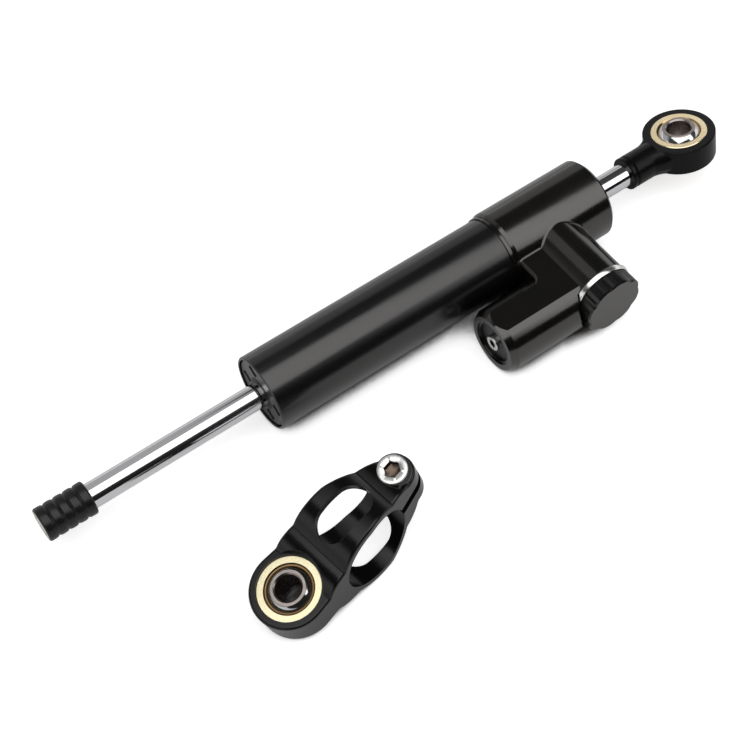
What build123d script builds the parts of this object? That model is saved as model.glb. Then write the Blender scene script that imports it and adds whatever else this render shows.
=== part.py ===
from build123d import *
from math import asin, atan2, cos, degrees, hypot, pi, sin, sqrt
import os

# Motorcycle steering damper with its loose clamp bracket, in millimetres.
# X runs along the rod towards the rod eye, Z is up, and the adjuster points to -Y.
# The origin is the centre of the rod eye's ball.

# Fits shared by every piece
RUN_FIT = 0.05          # radial clearance where one piece slides or turns in another
SEAT_FIT = 0.02         # radial clearance where pieces are screwed or pressed together
FACE_GAP = 0.2          # gap between faces that turn past each other
SEAL_FIT = 0.1          # room around a seal in its groove
OVERRUN = 1.0           # how far a cut runs past the face it opens

# Chromed rod, which runs right through the damper
ROD_DIA = 8.0
ROD_REAR_SHOW = 15.6    # bare rod between the head and the rod eye
ROD_FRONT_SHOW = 59.1   # bare rod between the end stop and the tube
ROD_THREAD_STEP = 1.0
ROD_EDGE = 0.3

# Grooved end stop on the rod's free end
STOP_WALL = 1.4         # round the full rod
STOP_LENGTH = 16.1
STOP_GROOVES = 4
STOP_GROOVE_DEPTH = 0.45
STOP_GROOVE_WIDTH = 1.0
STOP_EDGE = 0.5
STOP_SOCKET = 2.0       # depth that the full rod enters the stop

# Rod eye and its ball bearing
EYE_WALL = 2.8          # round the race
EYE_THICK = 9.0
EYE_EDGE = 0.5
SHANK_WALL = 1.6        # round the rod
SHANK_REACH = 23.8      # from the ball's centre to the shank's end
SHANK_LIP = 1.4
SHANK_LIP_STEP = 0.5
SHANK_FLARE = 9.0       # radius of the hollow between shank and eye
EYE_LEAN = 12.5         # degrees that the eye is turned about the rod
ROD_EYE_WALL = 2.6      # between the rod's end and the race
BALL_DIA = 15.88
BALL_WIDTH = 12.0
BALL_BORE_DIA = 8.0
BALL_EDGE = 0.4
EYE_RACE_WALL = 1.26    # round the ball
RACE_GRIP = 1.28        # how much smaller than the ball the race opens at its face
RACE_PROUD = 0.15

# Tube with a screwed guide in its front end
BODY_LENGTH = 127.5
BORE_DIA = 19.0
TUBE_RIM = 0.9          # wall round the guide
TUBE_EDGE = 0.4
TUBE_IN_HEAD = 16.0

# Guides that carry the rod, one in the tube and one in the head
GUIDE_STEP = 2.1        # wall between bore and guide, seen from the end
GUIDE_RECESS = 0.6      # how far the guide's face lies inside the tube's end
GUIDE_EDGE = 0.5
BUSH_WALL = 1.0
BUSH_LENGTH = 8.0
SEAL_WALL = 2.5
SEAL_LENGTH = 3.0
GUIDE_LAND = 0.6        # between bush and seal
WIPER_WALL = 1.5
WIPER_LENGTH = 2.4
WIPER_LIP = 0.1
GUIDE_CORD_DIA = 1.5    # section of the guides' sealing rings
GUIDE_SLOT_LENGTH = 3.8
GUIDE_SLOT_WIDTH = 2.6
GUIDE_SLOT_DEPTH = 2.4
GUIDE_SLOT_OFFSET = 4.4     # from the rod's axis, across the slot
GUIDE_SLOT_REACH = 6.8      # from the rod's axis, along the slot
GUIDE_SLOT_TURN = 30.0      # degrees from +Y

# Head, which carries the tube, the fluid barrel and the adjuster neck
HEAD_WALL = 1.0         # round the tube
HEAD_REAR_LAND = 11.35  # from the head's rear face to the neck
HEAD_FRONT_LAND = 5.35  # from the neck to the head's ramp
HEAD_EDGE = 1.0
HEAD_LIP = 0.8
HEAD_LIP_RISE = 0.45
HEAD_GROOVE = 0.5
HEAD_RAMP = 1.1
NECK_WALL = 3.25        # round the valve cartridge
NECK_EDGE = 0.4
NECK_FILLET = 1.0

# Fluid barrel beside the tube
BARREL_WALL = 3.1
BARREL_SPACE = 2.7      # between the tube and the barrel
BARREL_PAST_NECK = 7.0  # from the barrel's rear face to the neck's axis
BARREL_TAPER = 2.3      # length of the barrel's tapered front
BARREL_TAPER_DROP = 1.2
BARREL_BORE_DIA = 15.2
BARREL_END_WALL = 7.5
KNOB_POCKET = 0.6       # room round the collar, milled into the barrel
WEB_DROP = 0.9          # the flat over web and barrel lies this much under the barrel's crest
WEB_LEDGE = 5.0         # flat beside the barrel's crest line, on the tube side
WEB_EDGE = 1.2
WEB_CORNER = 2.5
WEB_START = 1.6         # from the head's front face to the web's front wall
WEB_HOLLOW = 1.0        # radius of the hollow between web and head

# Plug, circlip, fill screw and floating piston in the barrel
PLUG_RECESS = 1.4
PLUG_LENGTH = 6.0
PLUG_CORD_DIA = 1.4
CIRCLIP_THICK = 0.8
CIRCLIP_WIDTH = 1.3
CIRCLIP_DEPTH = 0.5     # how far it sits in the barrel's wall
CIRCLIP_GAP = 5.0
CIRCLIP_TURN = 150.0    # degrees that its gap is turned about the barrel
FILL_SCREW_DIA = 3.0
FILL_HEAD_DIA = 5.2
FILL_HEAD_HEIGHT = 2.0
FILL_SOCKET = 2.5       # across the flats
FILL_SCREW_LENGTH = 5.0
FLOAT_LENGTH = 7.0
FLOAT_ROOM = 4.4        # that it can slide, each way
FLOAT_CORD_DIA = 1.6

# Piston
PISTON_LENGTH = 12.0
PISTON_MARGIN = 6.0     # left in front of the piston when the rod is fully in
PISTON_CLEAR = 0.3
PISTON_RING_WIDTH = 5.0
PISTON_RING_THICK = 1.2
CLIP_RISE = 1.2         # how far the clips stand above the rod
CLIP_THICK = 1.0
CLIP_DEPTH = 0.5
CLIP_GAP = 2.0

# Adjuster: silver collar, knob, spindle, needle and the cartridge that holds them
COLLAR_STEP = 0.55      # how far it stands above the neck
COLLAR_THICK = 1.6
COLLAR_EDGE = 0.15
KNOB_STEP = 0.5         # how far it lies inside the collar
KNOB_FLAT_DEPTH = 0.3
KNOB_FLATS = 8
KNOB_TURN = 54.0        # degrees from the rod's line to a hollow
KNOB_FLUTE_DIA = 7.0    # hollows between the flats
KNOB_FLUTE_DEPTH = 0.5
KNOB_THICK = 5.2
KNOB_EDGE = 0.5
KNOB_SKIN = 1.6         # metal left over the spindle's end
SPINDLE_DIA = 6.0
SPINDLE_FLANGE_STEP = 1.8
SPINDLE_FLANGE = 1.4
SPINDLE_SETBACK = 3.8   # from the cartridge's inner end to the spindle
CARTRIDGE_WALL = 2.2    # round the spindle's flange
CARTRIDGE_LENGTH = 13.9     # from the seat to the neck's end
CARTRIDGE_CORD_DIA = 1.4
SPINDLE_CORD_DIA = 1.1
NEEDLE_DIA = 3.2
NEEDLE_TIP_DIA = 1.2
NEEDLE_TRAVEL = 1.0     # from half open to closed
NEEDLE_LAND = 0.4       # left between cone and seat when closed
NEEDLE_HEAD_ROOM = 1.6  # free thread behind the needle
SEAT_THICK = 2.4
SEAT_WALL = 3.1         # between tube and seat
SEAT_BORE_DIA = 2.4
PORT_DIA = 2.4
DETENT_BALL_DIA = 1.9
DETENT_INSET = 2.7      # from the knob's outside to the click ball
DETENT_DEPTH = 0.5      # how far the ball dips into the collar's track
DETENT_SPRING_WALL = 0.25
GRUB_DIA = 3.0
GRUB_LENGTH = 4.4
GRUB_SOCKET = 1.5

# Loose clamp bracket
CLAMP_EDGE = 0.8
CLAMP_RACE_WALL = 1.66  # round the ball
CLAMP_WALL = 2.4
CLAMP_WIDTH = 19.8
CLAMP_EYE_WALL = 1.4    # round the flat of the eye
CLAMP_EYE_THICK = 10.8
CLAMP_SPOT_STEP = 0.8   # flat milled round the race
CLAMP_HOLLOW = 10.0     # radius of the hollow between eye and ring
CLAMP_BRIDGE = 3.0      # between race and ring
CLAMP_BOLT_SET = 6.0    # from the ring's bore to the bolt
CLAMP_LIP_THICK = 5.2   # of each lip
CLAMP_LIP_STEP = 0.5    # lip beside the bolt's boss
CLAMP_SLIT = 3.2
CLAMP_WINDOW_WIDTH = 10.8
CLAMP_WINDOW_LENGTH = 18.8
CLAMP_RACE_DEPTH = 0.7
CLAMP_PLACE = (-194.6, -58.7)   # where its eye stands on the table
CLAMP_HEADING = 8.4     # degrees from +X to the bolt
BOLT_DIA = 5.0
BOLT_HEAD_DIA = 9.0
BOLT_HEAD_HEIGHT = 5.0
BOLT_HEAD_SHOW = 1.6    # how far the head stands above its boss
BOLT_SOCKET = 4.5
BOLT_BOSS_WALL = 0.8    # round the bolt's head
BOLT_BOSS_RISE = 1.6
BOLT_CLEARANCE = 0.25

# Diameters and lengths from the pieces inside, then places along X from the rod eye's ball outwards
ROD_R = ROD_DIA / 2
ROD_THREAD_DIA = ROD_DIA - 2 * ROD_THREAD_STEP
CLIP_DIA = ROD_DIA + 2 * CLIP_RISE
STOP_DIA = ROD_DIA + 2 * STOP_WALL
SHANK_DIA = ROD_DIA + 2 * SHANK_WALL
BUSH_DIA = ROD_DIA + 2 * BUSH_WALL
SEAL_DIA = ROD_DIA + 2 * SEAL_WALL
WIPER_DIA = ROD_DIA + 2 * WIPER_WALL
EYE_RACE_DIA = BALL_DIA + 2 * EYE_RACE_WALL
CLAMP_RACE_DIA = BALL_DIA + 2 * CLAMP_RACE_WALL
RACE_MOUTH_DIA = BALL_DIA - RACE_GRIP
EYE_DIA = EYE_RACE_DIA + 2 * EYE_WALL
GUIDE_DIA = BORE_DIA + 2 * GUIDE_STEP
GUIDE_LENGTH = WIPER_LENGTH + BUSH_LENGTH + GUIDE_LAND + SEAL_LENGTH
TUBE_DIA = GUIDE_DIA + 2 * TUBE_RIM
HEAD_DIA = TUBE_DIA + 2 * HEAD_WALL
SPINDLE_FLANGE_DIA = SPINDLE_DIA + 2 * SPINDLE_FLANGE_STEP
CARTRIDGE_DIA = SPINDLE_FLANGE_DIA + 2 * CARTRIDGE_WALL
NECK_DIA = CARTRIDGE_DIA + 2 * NECK_WALL
COLLAR_DIA = NECK_DIA + 2 * COLLAR_STEP
KNOB_DIA = COLLAR_DIA - 2 * KNOB_STEP
KNOB_ACROSS = KNOB_DIA - 2 * KNOB_FLAT_DEPTH
DETENT_RADIUS = KNOB_DIA / 2 - DETENT_INSET
BARREL_DIA = BARREL_BORE_DIA + 2 * BARREL_WALL
BARREL_OFFSET = TUBE_DIA / 2 + BARREL_SPACE + BARREL_DIA / 2
BARREL_LENGTH = PLUG_RECESS + PLUG_LENGTH + FLOAT_LENGTH + 2 * FLOAT_ROOM + BARREL_END_WALL
CARTRIDGE_INNER = TUBE_DIA / 2 + SEAT_WALL + SEAT_THICK
NECK_REACH = CARTRIDGE_INNER + CARTRIDGE_LENGTH
NECK_SETBACK = HEAD_REAR_LAND + NECK_DIA / 2
HEAD_LENGTH = NECK_SETBACK + NECK_DIA / 2 + HEAD_FRONT_LAND + HEAD_LIP + HEAD_GROOVE + HEAD_RAMP
ROD_REAR_END = -(EYE_RACE_DIA / 2 + ROD_EYE_WALL)
HEAD_REAR = -(SHANK_REACH + ROD_REAR_SHOW)
HEAD_FRONT = HEAD_REAR - HEAD_LENGTH
TUBE_FRONT = HEAD_REAR - BODY_LENGTH
TUBE_REAR = HEAD_FRONT + TUBE_IN_HEAD
TUBE_SEAL_X = TUBE_REAR - 2 * GUIDE_CORD_DIA
STOP_REAR = TUBE_FRONT - ROD_FRONT_SHOW
STOP_FRONT = STOP_REAR - STOP_LENGTH
NECK_X = HEAD_REAR - NECK_SETBACK
BARREL_REAR = NECK_X - BARREL_PAST_NECK
BARREL_FRONT = BARREL_REAR - BARREL_LENGTH
FLOOR_Z = -HEAD_DIA / 2
BARREL_Z = FLOOR_Z + BARREL_DIA / 2
WEB_TOP = BARREL_Z + BARREL_DIA / 2 - WEB_DROP
STROKE_IN = ROD_REAR_SHOW - FACE_GAP
CHAMBER_FRONT = TUBE_FRONT + GUIDE_RECESS + GUIDE_LENGTH
CHAMBER_REAR = HEAD_REAR - GUIDE_RECESS - GUIDE_LENGTH
PISTON_FRONT = CHAMBER_FRONT + STROKE_IN + PISTON_MARGIN
PISTON_REAR = PISTON_FRONT + PISTON_LENGTH


def turned(outline):
    """Solid turned about the X axis from its (place, radius) corners."""
    return revolve(make_face(Polyline(*outline, close=True)), Axis.X)


def shaft(radius, start, end, edge=0):
    """Round bar along X, with both ends chamfered where an edge is given."""
    if not edge:
        return turned([(start, 0), (start, radius), (end, radius), (end, 0)])
    return turned([(start, 0), (start, radius - edge), (start + edge, radius), (end - edge, radius),
                   (end, radius - edge), (end, 0)])


def sleeve(inner, outer, start, end):
    """Plain ring along X."""
    return turned([(start, inner), (start, outer), (end, outer), (end, inner)])


def cord_ring(inner, cord_dia, place):
    """Round-section sealing ring about X, by its inner radius."""
    return Pos(place, 0, 0) * Rot(0, 90, 0) * Torus(inner + cord_dia / 2, cord_dia / 2)


def cord_groove(outer, cord_dia, place):
    """Cutter for an outside groove that holds a sealing ring just under the surface."""
    half = cord_dia / 2 + SEAL_FIT
    floor = outer - cord_dia - 2 * SEAL_FIT
    return sleeve(floor, outer + OVERRUN, place - half, place + half)


def split_ring(inner, outer, start, end, gap):
    """Ring along X with a gap in it, as a circlip has."""
    opening = Box(end - start + OVERRUN, gap, outer + OVERRUN, align=(Align.CENTER, Align.CENTER, Align.MAX))
    return sleeve(inner, outer, start, end) - Pos((start + end) / 2, 0, 0) * opening


def hex_socket(across, depth, place):
    """Cutter for a hexagon socket that opens at place and runs depth towards +X."""
    return Pos(place, 0, 0) * Rot(0, 90, 0) * extrude(
        RegularPolygon(across / 2, side_count=6, major_radius=False), depth)


# Frames of the neck, the barrel and the rod eye: each turns the local X axis into place
NECK = Pos(NECK_X, 0, 0) * Rot(0, 0, -90)
BARREL = Pos(0, -BARREL_OFFSET, BARREL_Z)
EYE = Rot(-EYE_LEAN, 0, 0)


def cylinder_tube():
    """Tube: the piston's bore, opened at the front for the guide, with a sealing groove in its rear end."""
    r = TUBE_DIA / 2
    guide = GUIDE_DIA / 2 + SEAT_FIT
    tube = turned([
        (TUBE_FRONT, guide + TUBE_EDGE / 2), (TUBE_FRONT, r - TUBE_EDGE), (TUBE_FRONT + TUBE_EDGE, r),
        (TUBE_REAR, r), (TUBE_REAR, BORE_DIA / 2), (CHAMBER_FRONT, BORE_DIA / 2),
        (CHAMBER_FRONT, guide), (TUBE_FRONT + TUBE_EDGE / 2, guide)])
    return tube - cord_groove(r, GUIDE_CORD_DIA, TUBE_SEAL_X)


def head_shell():
    """Outer sleeve of the head: a lip and a groove, a ramp, then the full diameter."""
    r = HEAD_DIA / 2
    lip = TUBE_DIA / 2 + HEAD_LIP_RISE
    front = HEAD_FRONT
    return turned([
        (front, 0), (front, lip), (front + HEAD_LIP, lip),
        (front + HEAD_LIP, lip - HEAD_LIP_RISE / 2),
        (front + HEAD_LIP + HEAD_GROOVE, lip - HEAD_LIP_RISE / 2),
        (front + HEAD_LIP + HEAD_GROOVE, lip), (front + HEAD_LIP + HEAD_GROOVE + HEAD_RAMP, r),
        (HEAD_REAR - HEAD_EDGE, r), (HEAD_REAR, r - HEAD_EDGE), (HEAD_REAR, 0)])


def web():
    """Block between head and barrel: flat above and below, hollowed towards the head."""
    top = WEB_TOP
    bottom = BARREL_Z - BARREL_DIA / 2 + WEB_DROP
    head = HEAD_DIA / 2
    centre_z = top + WEB_HOLLOW
    centre_y = -sqrt((head + WEB_HOLLOW) ** 2 - centre_z ** 2)
    share = head / (head + WEB_HOLLOW)
    middle = atan2(centre_z - centre_z * share, centre_y - centre_y * share)
    lowest = (middle + pi / 2) / 2 + pi
    on_arc = (centre_y + WEB_HOLLOW * cos(lowest), centre_z + WEB_HOLLOW * sin(lowest))
    start = (centre_y * share, centre_z * share)
    arc = ThreePointArc(start, on_arc, (centre_y, top))
    rest = Polyline((centre_y, top), (-BARREL_OFFSET, top), (-BARREL_OFFSET, bottom), (0, bottom), (0, 0),
                    start)
    section = Plane.YZ * make_face(arc + rest)
    left = BARREL_FRONT + BARREL_TAPER
    block = Pos(left, 0, 0) * extrude(section, NECK_X - left)
    wall = HEAD_FRONT + WEB_START
    ledge = -(BARREL_OFFSET - WEB_LEDGE)
    plan_line = Polyline((NECK_X, ledge + head), (wall, ledge + head), (wall, ledge + WEB_CORNER))
    corner = RadiusArc((wall, ledge + WEB_CORNER), (wall - WEB_CORNER, ledge), WEB_CORNER)
    plan_rest = Polyline((wall - WEB_CORNER, ledge), (left, ledge), (left, -BARREL_OFFSET),
                         (NECK_X, -BARREL_OFFSET), (NECK_X, ledge + head))
    plan = make_face(plan_line + corner + plan_rest)
    block &= Pos(0, 0, -HEAD_DIA) * extrude(plan, 2 * HEAD_DIA)
    rim = [e for e in block.edges() if abs(e.center().Z - top) < SEAT_FIT and on_ledge(e, ledge, wall)]
    return fillet(rim, WEB_EDGE)


def on_ledge(edge, ledge, wall):
    """True for the top edges of the ledge and of its corner, on the tube side."""
    middle = edge.center()
    along = abs(middle.Y - ledge) < SEAT_FIT
    turning = edge.geom_type == GeomType.CIRCLE
    across = abs(middle.X - wall) < SEAT_FIT
    return along or turning or across


def fluid_barrel():
    """Barrel with a tapered front and a flat along its crest."""
    r = BARREL_DIA / 2
    barrel = BARREL * turned([
        (BARREL_FRONT, 0), (BARREL_FRONT, r - BARREL_TAPER_DROP), (BARREL_FRONT + BARREL_TAPER, r),
        (BARREL_REAR, r), (BARREL_REAR, 0)])
    above = Box(2 * BARREL_LENGTH, BARREL_DIA, BARREL_DIA, align=(Align.CENTER, Align.CENTER, Align.MIN))
    return barrel - Pos(BARREL_REAR, -BARREL_OFFSET, WEB_TOP) * above


def head_outside():
    """Head, neck, web and barrel as one billet, before its bores."""
    neck = NECK * shaft(NECK_DIA / 2, 0, NECK_REACH)
    shell = head_shell() + neck
    seam = [e for e in shell.edges() if e.geom_type not in (GeomType.LINE, GeomType.CIRCLE)]
    shell = fillet(seam, NECK_FILLET)
    barrel = fluid_barrel()
    rim = NECK * turned([(NECK_REACH - NECK_EDGE, NECK_DIA / 2), (NECK_REACH + OVERRUN, NECK_DIA / 2),
                         (NECK_REACH + OVERRUN, NECK_DIA / 2 - NECK_EDGE),
                         (NECK_REACH, NECK_DIA / 2 - NECK_EDGE)])
    pocket = NECK * shaft(COLLAR_DIA / 2 + KNOB_POCKET, NECK_REACH, NECK_REACH + BARREL_OFFSET)
    return shell + web() + barrel - rim - pocket


def head_housing():
    """Head with the seats of tube, rear guide, barrel parts and valve cut into it."""
    body = head_outside()
    body -= shaft(TUBE_DIA / 2 + SEAT_FIT, HEAD_FRONT - OVERRUN, TUBE_REAR)
    body -= shaft(BORE_DIA / 2, TUBE_REAR - OVERRUN, CHAMBER_REAR + OVERRUN)
    body -= shaft(GUIDE_DIA / 2 + SEAT_FIT, CHAMBER_REAR, HEAD_REAR + OVERRUN)
    body -= BARREL * shaft(BARREL_BORE_DIA / 2, BARREL_FRONT - OVERRUN, BARREL_REAR - BARREL_END_WALL)
    body -= BARREL * circlip_groove()
    body -= NECK * shaft(CARTRIDGE_DIA / 2 + SEAT_FIT, CARTRIDGE_INNER - SEAT_THICK, NECK_REACH + OVERRUN)
    body -= NECK * shaft(PORT_DIA / 2, BORE_DIA / 2 - OVERRUN, CARTRIDGE_INNER)
    port_end = NECK_X - CARTRIDGE_DIA / 2 + OVERRUN
    port_y = -(CARTRIDGE_INNER + CARTRIDGE_PORT)
    body -= Pos(0, port_y, 0) * shaft(PORT_DIA / 2, BARREL_REAR - BARREL_END_WALL - OVERRUN, port_end)
    return body


def circlip_groove():
    """Cutter for the groove that the barrel's circlip snaps into."""
    wall = BARREL_BORE_DIA / 2
    start = BARREL_FRONT + PLUG_RECESS - CIRCLIP_THICK
    return sleeve(wall - OVERRUN, wall + CIRCLIP_DEPTH, start, start + CIRCLIP_THICK)


# Guides: the same set in the tube's front end and, mirrored, in the head's rear end
def guide_body():
    """Screwed guide with its face at zero and its body towards +X."""
    r = GUIDE_DIA / 2
    wiper_end = WIPER_LENGTH
    bush_end = wiper_end + BUSH_LENGTH
    body = turned([
        (0, WIPER_DIA / 2 + SEAT_FIT), (0, r - GUIDE_EDGE), (GUIDE_EDGE, r), (GUIDE_LENGTH, r),
        (GUIDE_LENGTH, SEAL_DIA / 2 + SEAT_FIT), (GUIDE_LENGTH - SEAL_LENGTH, SEAL_DIA / 2 + SEAT_FIT),
        (GUIDE_LENGTH - SEAL_LENGTH, ROD_R + SEAL_FIT), (bush_end, ROD_R + SEAL_FIT),
        (bush_end, BUSH_DIA / 2 + SEAT_FIT), (wiper_end, BUSH_DIA / 2 + SEAT_FIT),
        (wiper_end, WIPER_DIA / 2 + SEAT_FIT)])
    return body - cord_groove(r, GUIDE_CORD_DIA, GUIDE_LENGTH / 2 + GUIDE_CORD_DIA)


def guide_slots():
    """Cutter for the four spanner slots in the front guide's face."""
    slot = Box(2 * GUIDE_SLOT_DEPTH, GUIDE_SLOT_LENGTH, GUIDE_SLOT_WIDTH)
    cutter = Part()
    for across in (-GUIDE_SLOT_OFFSET, GUIDE_SLOT_OFFSET):
        for along in (-GUIDE_SLOT_REACH, GUIDE_SLOT_REACH):
            cutter += Pos(0, along, across) * slot
    return Rot(GUIDE_SLOT_TURN, 0, 0) * cutter


def rod_wiper():
    """Wiper with a lip that stands out round the rod."""
    bore = ROD_R + RUN_FIT
    return turned([(-WIPER_LIP, bore), (-WIPER_LIP, bore + WIPER_LIP), (0, bore + 2 * WIPER_LIP),
                   (0, WIPER_DIA / 2), (WIPER_LENGTH, WIPER_DIA / 2), (WIPER_LENGTH, bore)])


def guide_set():
    """Pieces of one guide by name, face at zero, body towards +X."""
    bore = ROD_R + RUN_FIT
    return {
        "rod_wiper": rod_wiper(),
        "rod_bush": sleeve(bore, BUSH_DIA / 2, WIPER_LENGTH, WIPER_LENGTH + BUSH_LENGTH),
        "rod_seal": sleeve(bore, SEAL_DIA / 2, GUIDE_LENGTH - SEAL_LENGTH, GUIDE_LENGTH),
        "guide_oring": cord_ring(GUIDE_DIA / 2 - SEAL_FIT - GUIDE_CORD_DIA, GUIDE_CORD_DIA,
                                 GUIDE_LENGTH / 2 + GUIDE_CORD_DIA)}


def guides():
    """Front and rear guide sets in place."""
    front = Pos(TUBE_FRONT + GUIDE_RECESS, 0, 0)
    rear = Pos(HEAD_REAR - GUIDE_RECESS, 0, 0) * Rot(0, 0, 180)
    pieces = {"front_guide": front * (guide_body() - guide_slots()), "rear_guide": rear * guide_body()}
    for name, piece in guide_set().items():
        pieces["front_" + name] = front * piece
        pieces["rear_" + name] = rear * piece
    return pieces


# Rod, its piston and its ends
def piston_rod():
    """Through rod: threaded spigots at both ends and two grooves for the piston's clips."""
    spigot = ROD_THREAD_DIA / 2
    shoulder = STOP_REAR - STOP_SOCKET
    end = ROD_REAR_END
    rod = turned([
        (STOP_FRONT, 0), (STOP_FRONT, spigot - ROD_EDGE), (STOP_FRONT + ROD_EDGE, spigot), (shoulder, spigot),
        (shoulder, ROD_R - ROD_EDGE), (shoulder + ROD_EDGE, ROD_R), (end - ROD_EDGE, ROD_R),
        (end, ROD_R - ROD_EDGE), (end, 0)])
    for start in clip_starts():
        rod -= sleeve(ROD_R - CLIP_DEPTH, ROD_R + OVERRUN, start, start + CLIP_THICK)
    return rod


def clip_starts():
    """Front faces of the two clips that hold the piston."""
    return (PISTON_FRONT - CLIP_THICK, PISTON_REAR)


def piston_clips():
    """Two snap rings, one at each end of the piston."""
    clips = Part()
    for start in clip_starts():
        clips += split_ring(ROD_R - CLIP_DEPTH + SEAT_FIT, CLIP_DIA / 2, start, start + CLIP_THICK, CLIP_GAP)
    return clips


def ring_start():
    """Front face of the piston ring, which sits midway along the piston."""
    return (PISTON_FRONT + PISTON_REAR - PISTON_RING_WIDTH) / 2


def piston():
    """Piston with a groove for its ring."""
    r = BORE_DIA / 2 - PISTON_CLEAR
    floor = BORE_DIA / 2 - RUN_FIT - PISTON_RING_THICK - RUN_FIT
    start = ring_start()
    return turned([
        (PISTON_FRONT, ROD_R + SEAT_FIT), (PISTON_FRONT, r), (start - RUN_FIT, r), (start - RUN_FIT, floor),
        (start + PISTON_RING_WIDTH + RUN_FIT, floor), (start + PISTON_RING_WIDTH + RUN_FIT, r),
        (PISTON_REAR, r), (PISTON_REAR, ROD_R + SEAT_FIT)])


def piston_ring():
    """Slippery band that seals the piston in the bore."""
    outer = BORE_DIA / 2 - RUN_FIT
    return sleeve(outer - PISTON_RING_THICK, outer, ring_start(), ring_start() + PISTON_RING_WIDTH)


def end_stop():
    """Sleeve screwed on the rod's free end, with evenly spaced round grooves."""
    r = STOP_DIA / 2
    bore = ROD_THREAD_DIA / 2 + SEAT_FIT
    shoulder = STOP_REAR - STOP_SOCKET
    stop = turned([
        (STOP_FRONT, bore), (STOP_FRONT, r - STOP_EDGE), (STOP_FRONT + STOP_EDGE, r),
        (STOP_REAR - STOP_EDGE, r), (STOP_REAR, r - STOP_EDGE), (STOP_REAR, ROD_R + SEAT_FIT),
        (shoulder, ROD_R + SEAT_FIT), (shoulder, bore)])
    pitch = STOP_LENGTH / (STOP_GROOVES + 1)
    groove_radius = (STOP_GROOVE_WIDTH ** 2 / 4 + STOP_GROOVE_DEPTH ** 2) / (2 * STOP_GROOVE_DEPTH)
    for count in range(1, STOP_GROOVES + 1):
        place = STOP_FRONT + count * pitch
        ring_centre = r - STOP_GROOVE_DEPTH + groove_radius
        stop -= Pos(place, 0, 0) * Rot(0, 90, 0) * Torus(ring_centre, groove_radius)
    return stop


def rod_eye():
    """Rod eye: a turned shank that flares into a round flat eye."""
    shank = SHANK_DIA / 2
    eye = EYE_DIA / 2
    half = EYE_THICK / 2
    flare_x = -sqrt((eye + SHANK_FLARE) ** 2 - (shank + SHANK_FLARE) ** 2)
    touch = eye / (eye + SHANK_FLARE)
    touch_point = (flare_x * touch, (shank + SHANK_FLARE) * touch)
    angle = (atan2(touch_point[1] - shank - SHANK_FLARE, touch_point[0] - flare_x) - pi / 2) / 2
    middle = (flare_x + SHANK_FLARE * cos(angle), shank + SHANK_FLARE + SHANK_FLARE * sin(angle))
    arc = ThreePointArc((flare_x, shank), middle, touch_point)
    lip = shank - SHANK_LIP_STEP
    end = -SHANK_REACH
    rest = Polyline(touch_point, (0, touch_point[1]), (0, 0), (end, 0), (end, shank - ROD_EDGE),
                    (end + ROD_EDGE, shank), (end + SHANK_LIP, shank),
                    (end + SHANK_LIP + SHANK_LIP_STEP, lip), (end + SHANK_LIP + 2 * SHANK_LIP_STEP, shank),
                    (flare_x, shank))
    stem = revolve(make_face(arc + rest), Axis.X)
    slab = Box(2 * SHANK_REACH + EYE_DIA, EYE_DIA + OVERRUN, EYE_THICK)
    stalk = shaft(shank, end + SHANK_LIP + 2 * SHANK_LIP_STEP, -eye)
    tail = stem & Pos(end, 0, 0) * Box(2 * (SHANK_REACH + flare_x), EYE_DIA, EYE_DIA)
    disc = Cylinder(eye, EYE_THICK)
    disc = fillet(disc.edges(), EYE_EDGE)
    body = disc + (stem & slab) + tail + stalk
    body -= Rot(0, 90, 0) * shaft(EYE_RACE_DIA / 2 + SEAT_FIT, -half - OVERRUN, half + OVERRUN)
    body -= shaft(ROD_R + SEAT_FIT, end - OVERRUN, ROD_REAR_END)
    return EYE * body


def race(outer, half):
    """Brass race about the local Z axis, with a ball seat inside."""
    ball = BALL_DIA / 2 + RUN_FIT
    ring = sleeve(0, outer, -half, half)
    ring -= Sphere(ball)
    lip = sqrt(ball ** 2 - half ** 2)
    mouth = RACE_MOUTH_DIA / 2
    flare = turned([(half - (mouth - lip) / 2, 0), (half - (mouth - lip) / 2, lip), (half, mouth),
                    (half + OVERRUN, mouth), (half + OVERRUN, 0)])
    for side in (0, 180):
        ring -= Rot(0, 0, side) * flare
    return Rot(0, 90, 0) * ring


def ball():
    """Chromed ball with flat ends and a chamfered bore, about the local Z axis."""
    half = BALL_WIDTH / 2
    bore = BALL_BORE_DIA / 2
    body = Sphere(BALL_DIA / 2) & Box(BALL_DIA, BALL_DIA, BALL_WIDTH)
    cut = turned([(-half, 0), (-half, bore + BALL_EDGE), (-half + BALL_EDGE, bore), (half - BALL_EDGE, bore),
                  (half, bore + BALL_EDGE), (half, 0)])
    return body - Rot(0, 90, 0) * cut


# Barrel parts
PLUG_FRONT = BARREL_FRONT + PLUG_RECESS
PLUG_REAR = PLUG_FRONT + PLUG_LENGTH


def reservoir_plug():
    """Plug with a sealing groove and a threaded hole for the fill screw."""
    r = BARREL_BORE_DIA / 2 - SEAT_FIT
    sink = FILL_HEAD_DIA / 2 + SEAT_FIT
    hole = FILL_SCREW_DIA / 2 + SEAT_FIT
    seat = PLUG_FRONT + FILL_HEAD_HEIGHT / 2
    plug = turned([(PLUG_FRONT, sink), (PLUG_FRONT, r), (PLUG_REAR, r), (PLUG_REAR, hole), (seat, hole),
                   (seat, sink)])
    plug -= cord_groove(r, PLUG_CORD_DIA, (PLUG_FRONT + PLUG_REAR) / 2)
    return BARREL * plug


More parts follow.
